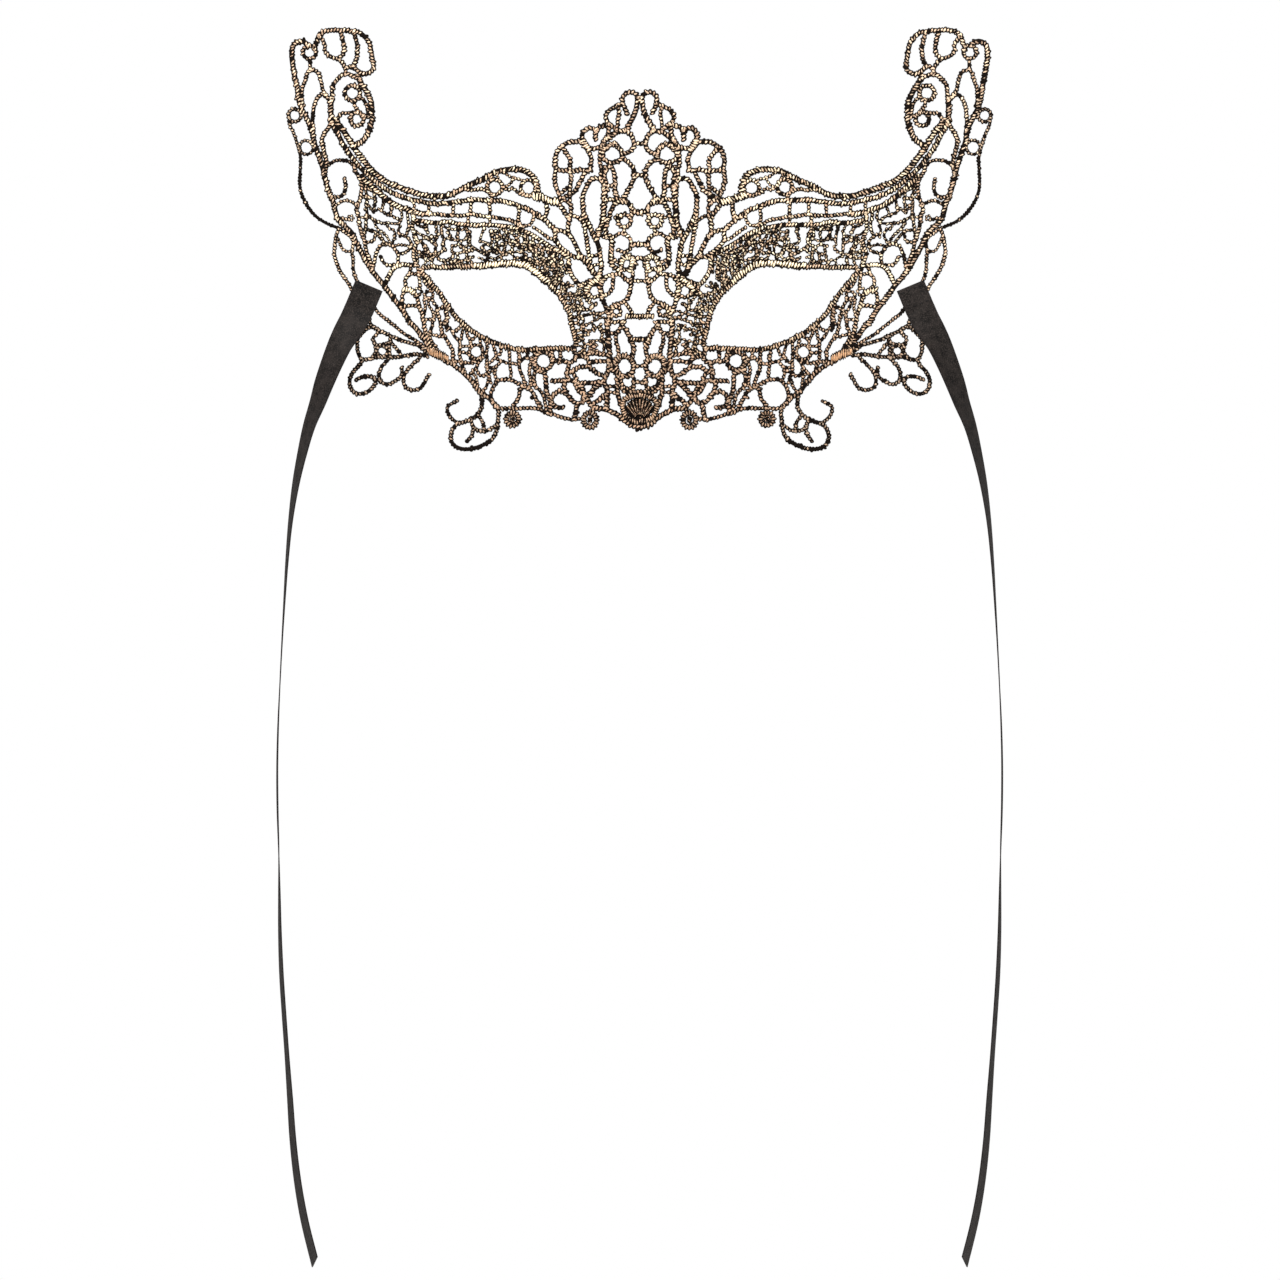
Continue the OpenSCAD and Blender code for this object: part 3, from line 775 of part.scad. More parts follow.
// four corners of the ribbon's section at station i
function section(i, s) =
  let (r = RIBBON[i], t = heading(i), c = cos(r[2]), w = ribbon_width / 2, h = ribbon_thick / 2,
    y = -depth_at(r[2]), cut = i == len(RIBBON) - 1 ? 4 : 0)
  [for (k = [[-w, -h], [w, -h], [w, h], [-w, h]])
      let (side = k[0] * c + k[1] * sin(r[2]), out = -k[0] * sin(r[2]) + k[1] * c,
        drop = cut * (k[0] > 0 ? 0 : 1))
      [-s * (r[0] - side * -t[1] + drop * t[0]), y - -out, r[1] - side * t[0] + drop * t[1]]];

module ribbon_tail(s)
{
  n = len(RIBBON);
  p = [for (i = [0 : n - 1]) each section(i, s)];
  walls = [for (i = [0 : n - 2], k = [0 : 3])
      let (a = 4 * i + k, b = 4 * i + (k + 1) % 4)
      each (s > 0 ? [[a, b, b + 4], [a, b + 4, a + 4]] : [[b + 4, b, a], [a + 4, b + 4, a]])];
  e = 4 * n - 4;
  caps = s > 0 ? [[2, 1, 0], [3, 2, 0], [e, e + 1, e + 2], [e, e + 2, e + 3]]
    : [[0, 1, 2], [0, 2, 3], [e + 2, e + 1, e], [e + 3, e + 2, e]];
  color(satin_black)
    polyhedron(points = p, faces = concat(walls, caps));
}

// tab frame: its length runs down the ribbon, its back lies on the lace
module on_tab(s)
{
  translate([-s * 91.9, -cord_depth, 10.4])
    rotate([0, s * 22.7, 0])
      children();
}

module ribbon_tab(s)
{
  color(satin_black)
    on_tab(s)
      translate([-ribbon_width / 2, -ribbon_thick, -tab_length])
        cube([ribbon_width, ribbon_thick, tab_length]);
}

// short stitches that hold the tab to the lace
module tab_stitches(s)
{
  color(thread_black)
    on_tab(s)
      for (z = [-1.6, -7.2], x = [-3.3, -1.1, 1.1, 3.3])
        translate([x - 0.6, -ribbon_thick - 0.2, z])
          cube([1.2, ribbon_thick + 1.2, 0.4]);
}

// ---------------------------------------------------------------- nodes

centre_column();
column_top();
crown_crest();
chin_lace();
nose_medallion();
wing_tip(LEFT);  // wing_tip_left
wing_tip(RIGHT);  // wing_tip_right
wing_inner(LEFT);  // wing_inner_left
wing_inner(RIGHT);  // wing_inner_right
temple_spine(LEFT);  // temple_spine_left
temple_spine(RIGHT);  // temple_spine_right
temple_loop(LEFT);  // temple_loop_left
temple_loop(RIGHT);  // temple_loop_right
temple_curls(LEFT);  // temple_curls_left
temple_curls(RIGHT);  // temple_curls_right
temple_leaf(LEFT);  // temple_leaf_left
temple_leaf(RIGHT);  // temple_leaf_right
temple_hook(LEFT);  // temple_hook_left
temple_hook(RIGHT);  // temple_hook_right
wing_root(LEFT);  // wing_root_left
wing_root(RIGHT);  // wing_root_right
brow_edge(LEFT);  // brow_edge_left
brow_edge(RIGHT);  // brow_edge_right
brow_band(LEFT);  // brow_band_left
brow_band(RIGHT);  // brow_band_right
brow_net(LEFT);  // brow_net_left
brow_net(RIGHT);  // brow_net_right
eye_rim(LEFT);  // eye_rim_left
eye_rim(RIGHT);  // eye_rim_right
inner_net(LEFT);  // inner_net_left
inner_net(RIGHT);  // inner_net_right
cheek_net(LEFT);  // cheek_net_left
cheek_net(RIGHT);  // cheek_net_right
cheek_edge(LEFT);  // cheek_edge_left
cheek_edge(RIGHT);  // cheek_edge_right
nose_lace(LEFT);  // nose_lace_left
nose_lace(RIGHT);  // nose_lace_right
crown_scrolls(LEFT);  // crown_scrolls_left
crown_scrolls(RIGHT);  // crown_scrolls_right
forehead_leaves(LEFT);  // forehead_leaves_left
forehead_leaves(RIGHT);  // forehead_leaves_right
cheek_fan(LEFT);  // cheek_fan_left
cheek_fan(RIGHT);  // cheek_fan_right
fan_root(LEFT);  // fan_root_left
fan_root(RIGHT);  // fan_root_right
lower_scroll(LEFT);  // lower_scroll_left
lower_scroll(RIGHT);  // lower_scroll_right
berry_inner(LEFT);  // berry_inner_left
berry_inner(RIGHT);  // berry_inner_right
berry_outer(LEFT);  // berry_outer_left
berry_outer(RIGHT);  // berry_outer_right
ribbon_tab(LEFT);  // ribbon_tab_left
ribbon_tab(RIGHT);  // ribbon_tab_right
tab_stitches(LEFT);  // tab_stitches_left
tab_stitches(RIGHT);  // tab_stitches_right
ribbon_tail(LEFT);  // ribbon_tail_left
ribbon_tail(RIGHT);  // ribbon_tail_right
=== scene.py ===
"""Looks of an embroidered venetian mask and its two ribbon ties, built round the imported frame.

Each cord of the lace is a dark core with thread wrapped over it, and gold foil lies on the wraps' raised
fronts. Routes give u (distance from the centre line) and z in millimetres. Left is -X, the front is -Y and up
is +Z.
"""

import itertools
import logging
import math
import zlib
from dataclasses import dataclass
from enum import Enum
from typing import Iterable, Sequence

import bpy
import numpy as np
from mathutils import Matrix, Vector


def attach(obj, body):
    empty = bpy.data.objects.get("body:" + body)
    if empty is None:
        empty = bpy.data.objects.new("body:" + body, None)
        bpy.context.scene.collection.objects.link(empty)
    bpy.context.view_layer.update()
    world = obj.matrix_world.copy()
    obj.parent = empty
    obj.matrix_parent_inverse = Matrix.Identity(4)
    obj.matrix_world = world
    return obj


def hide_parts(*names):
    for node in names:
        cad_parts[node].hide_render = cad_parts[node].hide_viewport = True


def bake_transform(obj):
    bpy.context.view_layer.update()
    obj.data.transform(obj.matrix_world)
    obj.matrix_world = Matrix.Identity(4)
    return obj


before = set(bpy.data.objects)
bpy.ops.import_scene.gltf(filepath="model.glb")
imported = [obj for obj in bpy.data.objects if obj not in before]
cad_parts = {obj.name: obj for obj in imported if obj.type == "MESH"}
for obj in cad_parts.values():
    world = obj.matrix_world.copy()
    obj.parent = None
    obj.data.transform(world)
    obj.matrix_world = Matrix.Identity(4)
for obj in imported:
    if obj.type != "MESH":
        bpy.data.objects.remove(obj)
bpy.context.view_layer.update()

LOG = logging.getLogger("mask")
MM = 0.001
FRONT = np.array([0.0, -1.0, 0.0])

Colour = tuple[float, float, float]
Route = tuple  # (width, (u, z, u, z, ...)), with a third item where it closes on itself
Ring = tuple  # (u, z, radius of its centre line, width)


class Side(Enum):
    """Which half of the mask a piece belongs to, with the sign that turns u into -X."""

    LEFT = 1
    RIGHT = -1

    @property
    def word(self) -> str:
        """The side's name as the frame's nodes spell it."""
        return self.name.lower()


BOTH = (Side.LEFT, Side.RIGHT)


class Slot(Enum):
    """The record's material slots that the pieces take their finishes from."""

    GOLD = "gold_cord"
    BRONZE = "bronze_cord"
    DARK = "dark_cord"
    NET = "net_cord"
    BLOCK = "satin_block"
    RIBBON = "ribbon_satin"
    THREAD = "sewing_thread"


# ------------------------------------------------------------------------------------------- finishes


def linear(hex_colour: str) -> Colour:
    """Turns a display colour into scene-linear values.

    Args:
        hex_colour: six hex digits.

    Returns:
        Red, green and blue from 0 to 1.
    """
    values = [int(hex_colour[i:i + 2], 16) / 255 for i in (0, 2, 4)]
    return tuple(v / 12.92 if v <= 0.04045 else ((v + 0.055) / 1.055) ** 2.4 for v in values)


class Nodes:
    """A small helper that adds and joins a material's nodes."""

    def __init__(self, name: str) -> None:
        """Starts a material with an empty tree and one Principled shader."""
        self.material = bpy.data.materials.new(name)
        self.material.use_nodes = True
        self.tree = self.material.node_tree
        self.tree.nodes.clear()
        self.shader = self.tree.nodes.new("ShaderNodeBsdfPrincipled")
        output = self.tree.nodes.new("ShaderNodeOutputMaterial")
        self.join(self.shader.outputs[0], output.inputs[0])

    def join(self, source: bpy.types.NodeSocket, target: bpy.types.NodeSocket) -> None:
        """Links two sockets."""
        self.tree.links.new(source, target)

    def add(self, kind: str, settings: dict | None = None, **inputs) -> bpy.types.Node:
        """Adds one node.

        Args:
            kind: node type without its ShaderNode prefix.
            settings: attributes of the node itself.
            inputs: values or sockets by input name, with _ for a space, or i0, i1 for an index.

        Returns:
            The new node.
        """
        node = self.tree.nodes.new("ShaderNode" + kind)
        for key, value in (settings or {}).items():
            setattr(node, key, value)
        for key, value in inputs.items():
            index = key[1:]
            socket = node.inputs[int(index) if key[0] == "i" and index.isdigit() else key.replace("_", " ")]
            if isinstance(value, bpy.types.NodeSocket):
                self.join(value, socket)
            else:
                socket.default_value = value
        return node

    def maths(self, operation: str, first, second=0.0, third=0.0) -> bpy.types.NodeSocket:
        """Returns the output of one Math node."""
        return self.add("Math", {"operation": operation}, i0=first, i1=second, i2=third).outputs[0]

    def mix(self, share, first, second) -> bpy.types.NodeSocket:
        """Returns two colours mixed by share."""
        node = self.add("Mix", {"data_type": "RGBA"})
        for index, value in ((0, share), (6, first), (7, second)):
            if isinstance(value, bpy.types.NodeSocket):
                self.join(value, node.inputs[index])
            else:
                node.inputs[index].default_value = value if index == 0 else (*value, 1)
        return node.outputs[2]

    def step(self, value, low: float, high: float, to: tuple[float, float] = (0, 1)) -> bpy.types.NodeSocket:
        """Returns a smooth step from low to high."""
        node = self.add("MapRange", {"interpolation_type": "SMOOTHSTEP"}, Value=value)
        for key, number in (("From Min", low), ("From Max", high), ("To Min", to[0]), ("To Max", to[1])):
            node.inputs[key].default_value = number
        return node.outputs[0]

    def noise(self, scale: float, detail: float = 2) -> bpy.types.NodeSocket:
        """Returns a noise on the piece's own place, from 0 to 1."""
        place = self.add("TexCoord").outputs["Object"]
        return self.add("TexNoise", Vector=place, Scale=scale, Detail=detail).outputs["Fac"]

    def dress(self, **inputs) -> bpy.types.Material:
        """Sets the shader's sockets and returns the material."""
        for key, value in inputs.items():
            socket = self.shader.inputs[key.replace("_", " ")]
            if isinstance(value, bpy.types.NodeSocket):
                self.join(value, socket)
            elif isinstance(value, tuple):
                socket.default_value = (*value, 1)
            else:
                socket.default_value = value
        return self.material


@dataclass(frozen=True)
class FoilThread:
    """Black thread wraps with foil on their fronts, which is thin and broken where the wraps turn away.

    low and high are the foil's colour under the eyes and at the brow, deep its shaded tone, blush its rosy
    one and edge its colour where it thins out. thread is the bare thread. cover moves how far the foil
    reaches down a wrap, and shine is how metallic it is. foil_rise and warm_rise are the heights on a wrap,
    from 0 at its back to 1 at its front, over which the foil and its full colour begin. filament is the
    thread's fine pitch in metres.
    """

    low: str
    high: str
    deep: str
    blush: str = "c8967a"
    edge: str = "8c6238"
    thread: str = "0b0807"
    cover: float = 0.0
    shine: float = 0.35
    foil_rise: tuple[float, float] = (0.88, 0.915)
    warm_rise: tuple[float, float] = (0.885, 0.95)
    filament: float = 0.00013

    def material(self, name: str) -> bpy.types.Material:
        """Builds the procedural material."""
        n = Nodes(name)
        laid = n.add("Attribute", {"attribute_name": "thread"})
        facts = n.add("SeparateColor", Color=laid.outputs["Color"])
        rise, tone, bare = facts.outputs[0], facts.outputs[1], facts.outputs[2]
        patch, grain = n.noise(900, 3), n.noise(5200, 2)
        worn = n.maths("MULTIPLY_ADD", patch, 0.38, self.cover - 0.19)
        plain = n.step(tone, 0.0, 0.01, (0.03, 0))
        raised = n.maths("SUBTRACT", n.maths("ADD", n.maths("ADD", rise, worn), plain), bare)
        foil = n.step(raised, *self.foil_rise)
        place = n.add("SeparateXYZ", Vector=n.add("TexCoord").outputs["Object"])
        height = n.step(place.outputs[2], -0.022, 0.02)
        colour = n.mix(height, linear(self.low), linear(self.high))
        rosy = n.maths("MULTIPLY", n.step(n.noise(230, 2), 0.46, 0.62, (0, 0.7)), n.step(tone, 0.0, 0.1))
        colour = n.mix(rosy, colour, linear(self.blush))
        colour = n.mix(n.step(tone, 0.3, 1.0, (0, 0.85)), colour, linear(self.deep))
        colour = n.mix(n.step(raised, *self.warm_rise), linear(self.edge), colour)
        speck = n.mix(n.step(grain, 0.4, 0.75, (0, 0.45)), colour, linear("fff4dc"))
        dark = n.mix(n.step(grain, 0.3, 0.9), linear(self.thread), linear("20160f"))
        lines = n.add("TexWave", {"bands_direction": "Y", "wave_profile": "SIN"},
                      Vector=n.add("TexCoord").outputs["UV"], Scale=math.tau / 20 / self.filament,
                      Distortion=1.5, Detail=1.0)
        bump = n.add("Bump", Strength=0.55, Distance=0.00005, Height=lines.outputs["Fac"])
        return n.dress(
            Base_Color=n.mix(foil, dark, speck),
            Metallic=n.maths("MULTIPLY", foil, self.shine),
            Roughness=n.maths("MULTIPLY_ADD", foil, -0.42, 0.82),
            Normal=bump.outputs[0], Specular_IOR_Level=n.maths("MULTIPLY_ADD", foil, 0.41, 0.06))


@dataclass(frozen=True)
class RibbonSatin:
    """Black satin ribbon with a fine warp, pale lint specks and denser woven edges."""

    body: str = "0c0a09"
    light: str = "36302d"
    warp: float = 0.00022
    half_width: float = 0.005

    def material(self, name: str) -> bpy.types.Material:
        """Builds the procedural material."""
        n = Nodes(name)
        cloth = n.add("TexCoord").outputs["UV"]
        across = n.maths("ABSOLUTE", n.add("SeparateXYZ", Vector=cloth).outputs[0])
        edge = n.step(across, self.half_width - 0.0006, self.half_width - 0.0003)
        fleck = n.step(n.noise(2600, 4), 0.45, 0.72)
        broad = n.step(n.noise(300, 2), 0.3, 0.7, (0, 0.35))
        colour = n.mix(fleck, linear(self.body), linear(self.light))
        colour = n.mix(broad, colour, linear(self.light))
        colour = n.mix(n.maths("MULTIPLY", edge, 0.5), colour, linear("171414"))
        scale = math.tau / 20 / self.warp
        warp = n.add("TexWave", {"bands_direction": "X"}, Vector=cloth, Scale=scale, Distortion=0.6)
        weft = n.add("TexWave", {"bands_direction": "Y"}, Vector=cloth, Scale=scale * 0.7, Distortion=0.6)
        weave = n.maths("MULTIPLY_ADD", weft.outputs["Fac"], 0.5, warp.outputs["Fac"])
        weave = n.maths("ADD", weave, n.maths("MULTIPLY", edge, 0.6))
        bump = n.add("Bump", Strength=0.35, Distance=0.00006, Height=weave)
        return n.dress(Base_Color=colour, Roughness=n.step(fleck, 0, 1, (0.52, 0.7)),
                       Normal=bump.outputs[0], Anisotropic=0.4, Specular_IOR_Level=0.07)


@dataclass(frozen=True)
class SewingThread:
    """Twisted black sewing thread."""

    colour: str = "0c0b0b"

    def material(self, name: str) -> bpy.types.Material:
        """Builds the procedural material."""
        n = Nodes(name)
        place = n.add("TexCoord").outputs["Object"]
        twist = n.add("TexWave", {"bands_direction": "DIAGONAL"}, Vector=place, Scale=1500, Distortion=1.0)
        bump = n.add("Bump", Strength=0.5, Distance=0.00004, Height=twist.outputs["Fac"])
        return n.dress(Base_Color=n.mix(n.noise(3000), linear(self.colour), linear("1a1717")),
                       Roughness=n.step(n.noise(900), 0.3, 0.7, (0.5, 0.75)),
                       Normal=bump.outputs[0], Specular_IOR_Level=0.15)


FINISHES = {
    Slot.GOLD: FoilThread(low="bc946e", high="fdeac4", deep="b88e6c", blush="d4a486", cover=-0.014),
    Slot.BRONZE: FoilThread(low="b28a68", high="f2d4b0", deep="8a6444", blush="b48464", edge="7a5234",
                            cover=-0.016),
    Slot.DARK: FoilThread(low="b89474", high="e4c6a2", deep="6f523e", blush="8a6a54", edge="664630",
                          cover=-0.025),
    Slot.NET: FoilThread(low="cca67e", high="fff2ce", deep="c69e78", blush="d8aa8c", cover=0.0),
    Slot.BLOCK: FoilThread(low="d09866", high="d09866", deep="a06c3c", blush="bc8658", edge="8a5a30",
                           cover=0.05, shine=0.2),
    Slot.RIBBON: RibbonSatin(),
    Slot.THREAD: SewingThread(),
}


class Wardrobe:
    """Makes each finish once and hands it out."""

    def __init__(self) -> None:
        """Starts with nothing made."""
        self.made: dict[Slot, bpy.types.Material] = {}

    def material(self, slot: Slot) -> bpy.types.Material:
        """Returns the material of a slot."""
        if slot not in self.made:
            self.made[slot] = FINISHES[slot].material(slot.value)
        return self.made[slot]


WARDROBE = Wardrobe()


# ------------------------------------------------------------------------------------------- curves


def points(flat: Sequence[float], side: Side) -> np.ndarray:
    """Turns a route's flat list of u and z into X and Z on one side."""
    pairs = np.array(flat, float).reshape(-1, 2)
    return pairs * (-side.value, 1)


def smooth(p: np.ndarray, closed: bool = False, steps: int = 6) -> np.ndarray:
    """Draws a smooth curve through points.

    Args:
        p: points of any dimension, one a row.
        closed: whether the curve returns to its first point.
        steps: pieces between two points.

    Returns:
        The curve's points; a closed curve repeats its first one at the end.
    """
    if closed:
        p = np.vstack([p[-1:], p, p[:2]])
    else:
        p = np.vstack([p[:1], p, p[-1:]])
    t = (np.arange(steps) / steps)[:, None]
    parts = []
    for a, b, c, d in zip(p, p[1:], p[2:], p[3:]):
        parts.append(0.5 * (2 * b + (c - a) * t + (2 * a - 5 * b + 4 * c - d) * t**2
                            + (3 * b - a - 3 * c + d) * t**3))
    return np.vstack([*parts, p[-2:-1]])


def resample(p: np.ndarray, step: float) -> tuple[np.ndarray, float]:
    """Spaces a curve's points evenly.

    Args:
        p: the curve.
        step: the wanted spacing.

    Returns:
        The new points and their true spacing.
    """
    run = np.concatenate([[0], np.cumsum(np.linalg.norm(np.diff(p, axis=0), axis=1))])
    count = max(2, round(run[-1] / step) + 1)
    at = np.linspace(0, run[-1], count)
    return np.stack([np.interp(at, run, column) for column in p.T], axis=1), run[-1] / (count - 1)


def headings(p: np.ndarray, closed: bool = False) -> np.ndarray:
    """Returns the unit direction of travel at each point of an X, Z curve, as 3-D vectors."""
    ahead = np.vstack([p[1:], p[1:2] if closed else p[-1:]])
    behind = np.vstack([p[-2:-1] if closed else p[:1], p[:-1]])
    d = ahead - behind
    d /= np.maximum(np.linalg.norm(d, axis=1, keepdims=True), 1e-9)
    return np.stack([d[:, 0], np.zeros(len(d)), d[:, 1]], axis=1)


# ------------------------------------------------------------------------------------------- thread


class StitchShape:
    """One thread wrap, modelled once: long across the cord (X), thin along it (Y), front at +Z."""

    def __init__(self, segments: int, rings: int) -> None:
        """Models the wrap and keeps its points and faces.

        Args:
            segments: sides round the wrap.
            rings: rows from one end of the wrap to the other.
        """
        bpy.ops.object.select_all(action="DESELECT")
        bpy.ops.mesh.primitive_uv_sphere_add(segments=segments, ring_count=rings, radius=1)
        bpy.ops.object.mode_set(mode="EDIT")
        bpy.ops.mesh.select_all(action="SELECT")
        bpy.ops.transform.rotate(value=math.pi / 2, orient_axis="Y", center_override=(0, 0, 0))
        bpy.ops.mesh.normals_make_consistent(inside=False)
        bpy.ops.object.mode_set(mode="OBJECT")
        shape = bpy.context.active_object
        mesh = shape.data
        self.points = np.array([v.co for v in mesh.vertices])
        self.points[:, 0] = np.sign(self.points[:, 0]) * np.abs(self.points[:, 0]) ** 0.8
        self.totals = np.array([len(f.vertices) for f in mesh.polygons])
        self.corners = np.concatenate([list(f.vertices) for f in mesh.polygons])
        bpy.data.objects.remove(shape, do_unlink=True)


FULL_WRAP = StitchShape(8, 6)
FINE_WRAP = StitchShape(6, 4)


@dataclass(frozen=True)
class Wrap:
    """How thread is laid round a cord. Lengths are in millimetres.

    lean is the wraps' turn off square to the cord in degrees, ragged is how uneven they are, bare is the
    share of wraps with no foil, and lift is the cord's depth from back to front. swell is how far the thread
    fattens the cord, fill how closely the wraps sit, and below the height dark_under nearly all of them are
    bare. tone is the foil's tone from 0, its clearest, to 1, its deepest, and below 0 each wrap has its own.
    """

    pitch: float = 1.2
    lean: float = 30
    ragged: float = 0.12
    bare: float = 0.1
    lift: float = 1.4
    fill: float = 0.56
    swell: float = 1.14
    dark_under: float = -999.0
    tone: float = -1.0
    shape: StitchShape = FULL_WRAP


CORD = Wrap()
SATIN = Wrap(pitch=1.0, lean=20, ragged=0.1, bare=0.01, lift=1.75, fill=0.68, swell=1.2, tone=0.0)
TAN = Wrap(pitch=0.9, lean=14, ragged=0.1, bare=0.02, lift=1.75, fill=0.66, swell=1.2, tone=0.04)
NET = Wrap(pitch=1.15, lean=34, ragged=0.22, bare=0.05, lift=1.1, swell=1.25, fill=0.6, shape=FINE_WRAP)


class ThreadMesh:
    """Collects closed shells of thread in millimetres and writes them as one mesh."""

    def __init__(self, name: str) -> None:
        """Starts empty, with random draws that depend on the name alone."""
        self.name = name
        self.rng = np.random.default_rng(zlib.crc32(name.encode()))
        self.places: list[np.ndarray] = []
        self.facts: list[np.ndarray] = []
        self.cloth: list[np.ndarray] = []
        self.totals: list[np.ndarray] = []
        self.corners: list[np.ndarray] = []
        self.count = 0

    def _keep(self, place: np.ndarray, facts: np.ndarray, cloth: np.ndarray,
              totals: np.ndarray, corners: np.ndarray) -> None:
        """Adds one batch of shells.

        Args:
            place: points.
            facts: rise, tone and bare of each point.
            cloth: across and along place of each point, for the pattern.
            totals: corners of each face.
            corners: the faces' point numbers within the batch.
        """
        self.places.append(place)
        self.facts.append(facts)
        self.cloth.append(cloth)
        self.totals.append(totals)
        self.corners.append(corners + self.count)
        self.count += len(place)

    def stamp(self, shape: StitchShape, centre: np.ndarray, along: np.ndarray, half: np.ndarray,
              bare: np.ndarray, run: np.ndarray, tone: float = -1.0) -> None:
        """Copies a wrap to many places.

        Args:
            shape: the wrap.
            centre: where each copy goes.
            along: each copy's thin direction.
            half: half sizes of each copy across, along and to the front.
            bare: 1 where a copy has no foil.
            run: each copy's distance along its cord.
            tone: the foil's tone, or below 0 for one drawn for each copy.
        """
        n, k = len(centre), len(shape.points)
        across = np.cross(along, FRONT)
        x, y, z = shape.points.T
        place = (centre[:, None]
                 + across[:, None] * (x * half[:, :1])[..., None]
                 + along[:, None] * (y * half[:, 1:2])[..., None]
                 + FRONT * (z * half[:, 2:])[..., None])
        facts = np.empty((n, k, 3))
        facts[..., 0] = (z + 1) / 2
        facts[..., 1] = self.rng.random(n)[:, None] if tone < 0 else tone
        facts[..., 2] = bare[:, None]
        cloth = np.stack([x * half[:, :1], run[:, None] + y * half[:, 1:2]], axis=-1)
        corners = (shape.corners + np.arange(n)[:, None] * k).ravel()
        self._keep(place.reshape(-1, 3), facts.reshape(-1, 3), cloth.reshape(-1, 2),
                   np.tile(shape.totals, n), corners)

    def tube(self, centre: np.ndarray, along: np.ndarray, half_width: np.ndarray, half_depth: float,
             closed: bool, sides: int = 8) -> None:
        """Adds the plain core of a cord.

        Args:
            centre: the core's centre line.
            along: its direction at each point.
            half_width: half its width at each point.
            half_depth: half its depth.
            closed: whether its ends meet, with the first point repeated last.
            sides: points round it.
        """
        n = len(centre) - closed
        across = np.cross(along, FRONT)[:n]
        turn = np.arange(sides) / sides * math.tau
        place = (centre[:n, None] + across[:, None] * (np.cos(turn) * half_width[:n, None])[..., None]
                 + FRONT * (np.sin(turn) * half_depth)[:, None])
        i = np.arange(n if closed else n - 1)[:, None]
        k = np.arange(sides)
        j = (i + 1) % n
        quads = np.stack([i * sides + k, j * sides + k, j * sides + (k + 1) % sides,
                          i * sides + (k + 1) % sides], axis=-1).reshape(-1)
        totals = np.full(len(quads) // 4, 4)
        if not closed:
            quads = np.concatenate([quads, k, (n - 1) * sides + k[::-1]])
            totals = np.concatenate([totals, [sides, sides]])
        self._keep(place.reshape(-1, 3), np.tile([0.0, 0.5, 0.0], (n * sides, 1)),
                   np.tile([0.0, 0.0], (n * sides, 1)), totals, quads)

    def cord(self, p: np.ndarray, width: float | np.ndarray, wrap: Wrap, closed: bool = False) -> None:
        """Lays a wrapped cord along an X, Z curve.

        Args:
            p: the curve.
            width: the cord's full width, or its width at each of the curve's points.
            wrap: how the thread is laid.
            closed: whether the curve returns to its first point, which it repeats last.
        """
        wide = np.broadcast_to(width, (len(p),))
        line, pitch = resample(np.column_stack([p, wide]), wrap.pitch)
        wide, line = line[:, 2] * wrap.swell, line[:, :2]
        n = len(line)
        along = headings(line, closed)
        raise_up = self.rng.random() * 0.1
        depth = wrap.lift / 2
        centre = np.column_stack([line[:, 0], np.full(n, -depth - raise_up), line[:, 1]])
        self.tube(centre, along, wide * 0.36, depth * 0.62, closed)
        if closed:
            n, centre, along, wide = n - 1, centre[:-1], along[:-1], wide[:-1]
        r = wrap.ragged
        hand = self.rng.choice([-1, 1])
        lean = np.radians(hand * wrap.lean + self.rng.normal(0, 60 * r, n))
        across = np.cross(along, FRONT)
        turned = along * np.cos(lean)[:, None] + across * np.sin(lean)[:, None]
        centre = centre + across * (self.rng.normal(0, r * 0.35, n) * wide)[:, None]
        spread = self.rng.normal(1, r, (n, 3)).clip(0.7, 1.35)
        half = np.column_stack([wide / 2, np.full(n, pitch * wrap.fill), np.full(n, depth)]) * spread
        share = np.where(centre[:, 2] < wrap.dark_under, 0.82, wrap.bare * self.rng.uniform(0.4, 1.6))
        bare = (self.rng.random(n) < share) * (0.08 + 0.4 * self.rng.random(n))
        self.stamp(wrap.shape, centre, turned, half, bare, np.arange(n) * pitch, wrap.tone)

    def write(self, slot: Slot) -> bpy.types.Object:
        """Makes the mesh object.

        Args:
            slot: the material slot it takes its finish from.

        Returns:
            The object, at the origin.
        """
        place = np.vstack(self.places) * MM
        totals = np.concatenate(self.totals)
        corners = np.concatenate(self.corners)
        mesh = bpy.data.meshes.new(self.name)
        mesh.vertices.add(len(place))
        mesh.vertices.foreach_set("co", place.astype(np.float32).ravel())
        mesh.loops.add(len(corners))
        mesh.loops.foreach_set("vertex_index", corners.astype(np.int32))
        mesh.polygons.add(len(totals))
        starts = np.concatenate([[0], np.cumsum(totals)[:-1]])
        mesh.polygons.foreach_set("loop_start", starts.astype(np.int32))
        mesh.polygons.foreach_set("use_smooth", np.ones(len(totals), bool))
        mesh.update(calc_edges=True)
        facts = np.column_stack([np.vstack(self.facts), np.ones(len(place))])
        layer = mesh.attributes.new("thread", "FLOAT_COLOR", "POINT")
        layer.data.foreach_set("color", facts.astype(np.float32).ravel())
        cloth = (np.vstack(self.cloth) * MM)[corners]
        mesh.uv_layers.new(name="UVMap").data.foreach_set("uv", cloth.astype(np.float32).ravel())
        mesh.materials.append(WARDROBE.material(slot))
        piece = bpy.data.objects.new(self.name, mesh)
        bpy.context.collection.objects.link(piece)
        return piece


# ------------------------------------------------------------------------------------------- lace fields


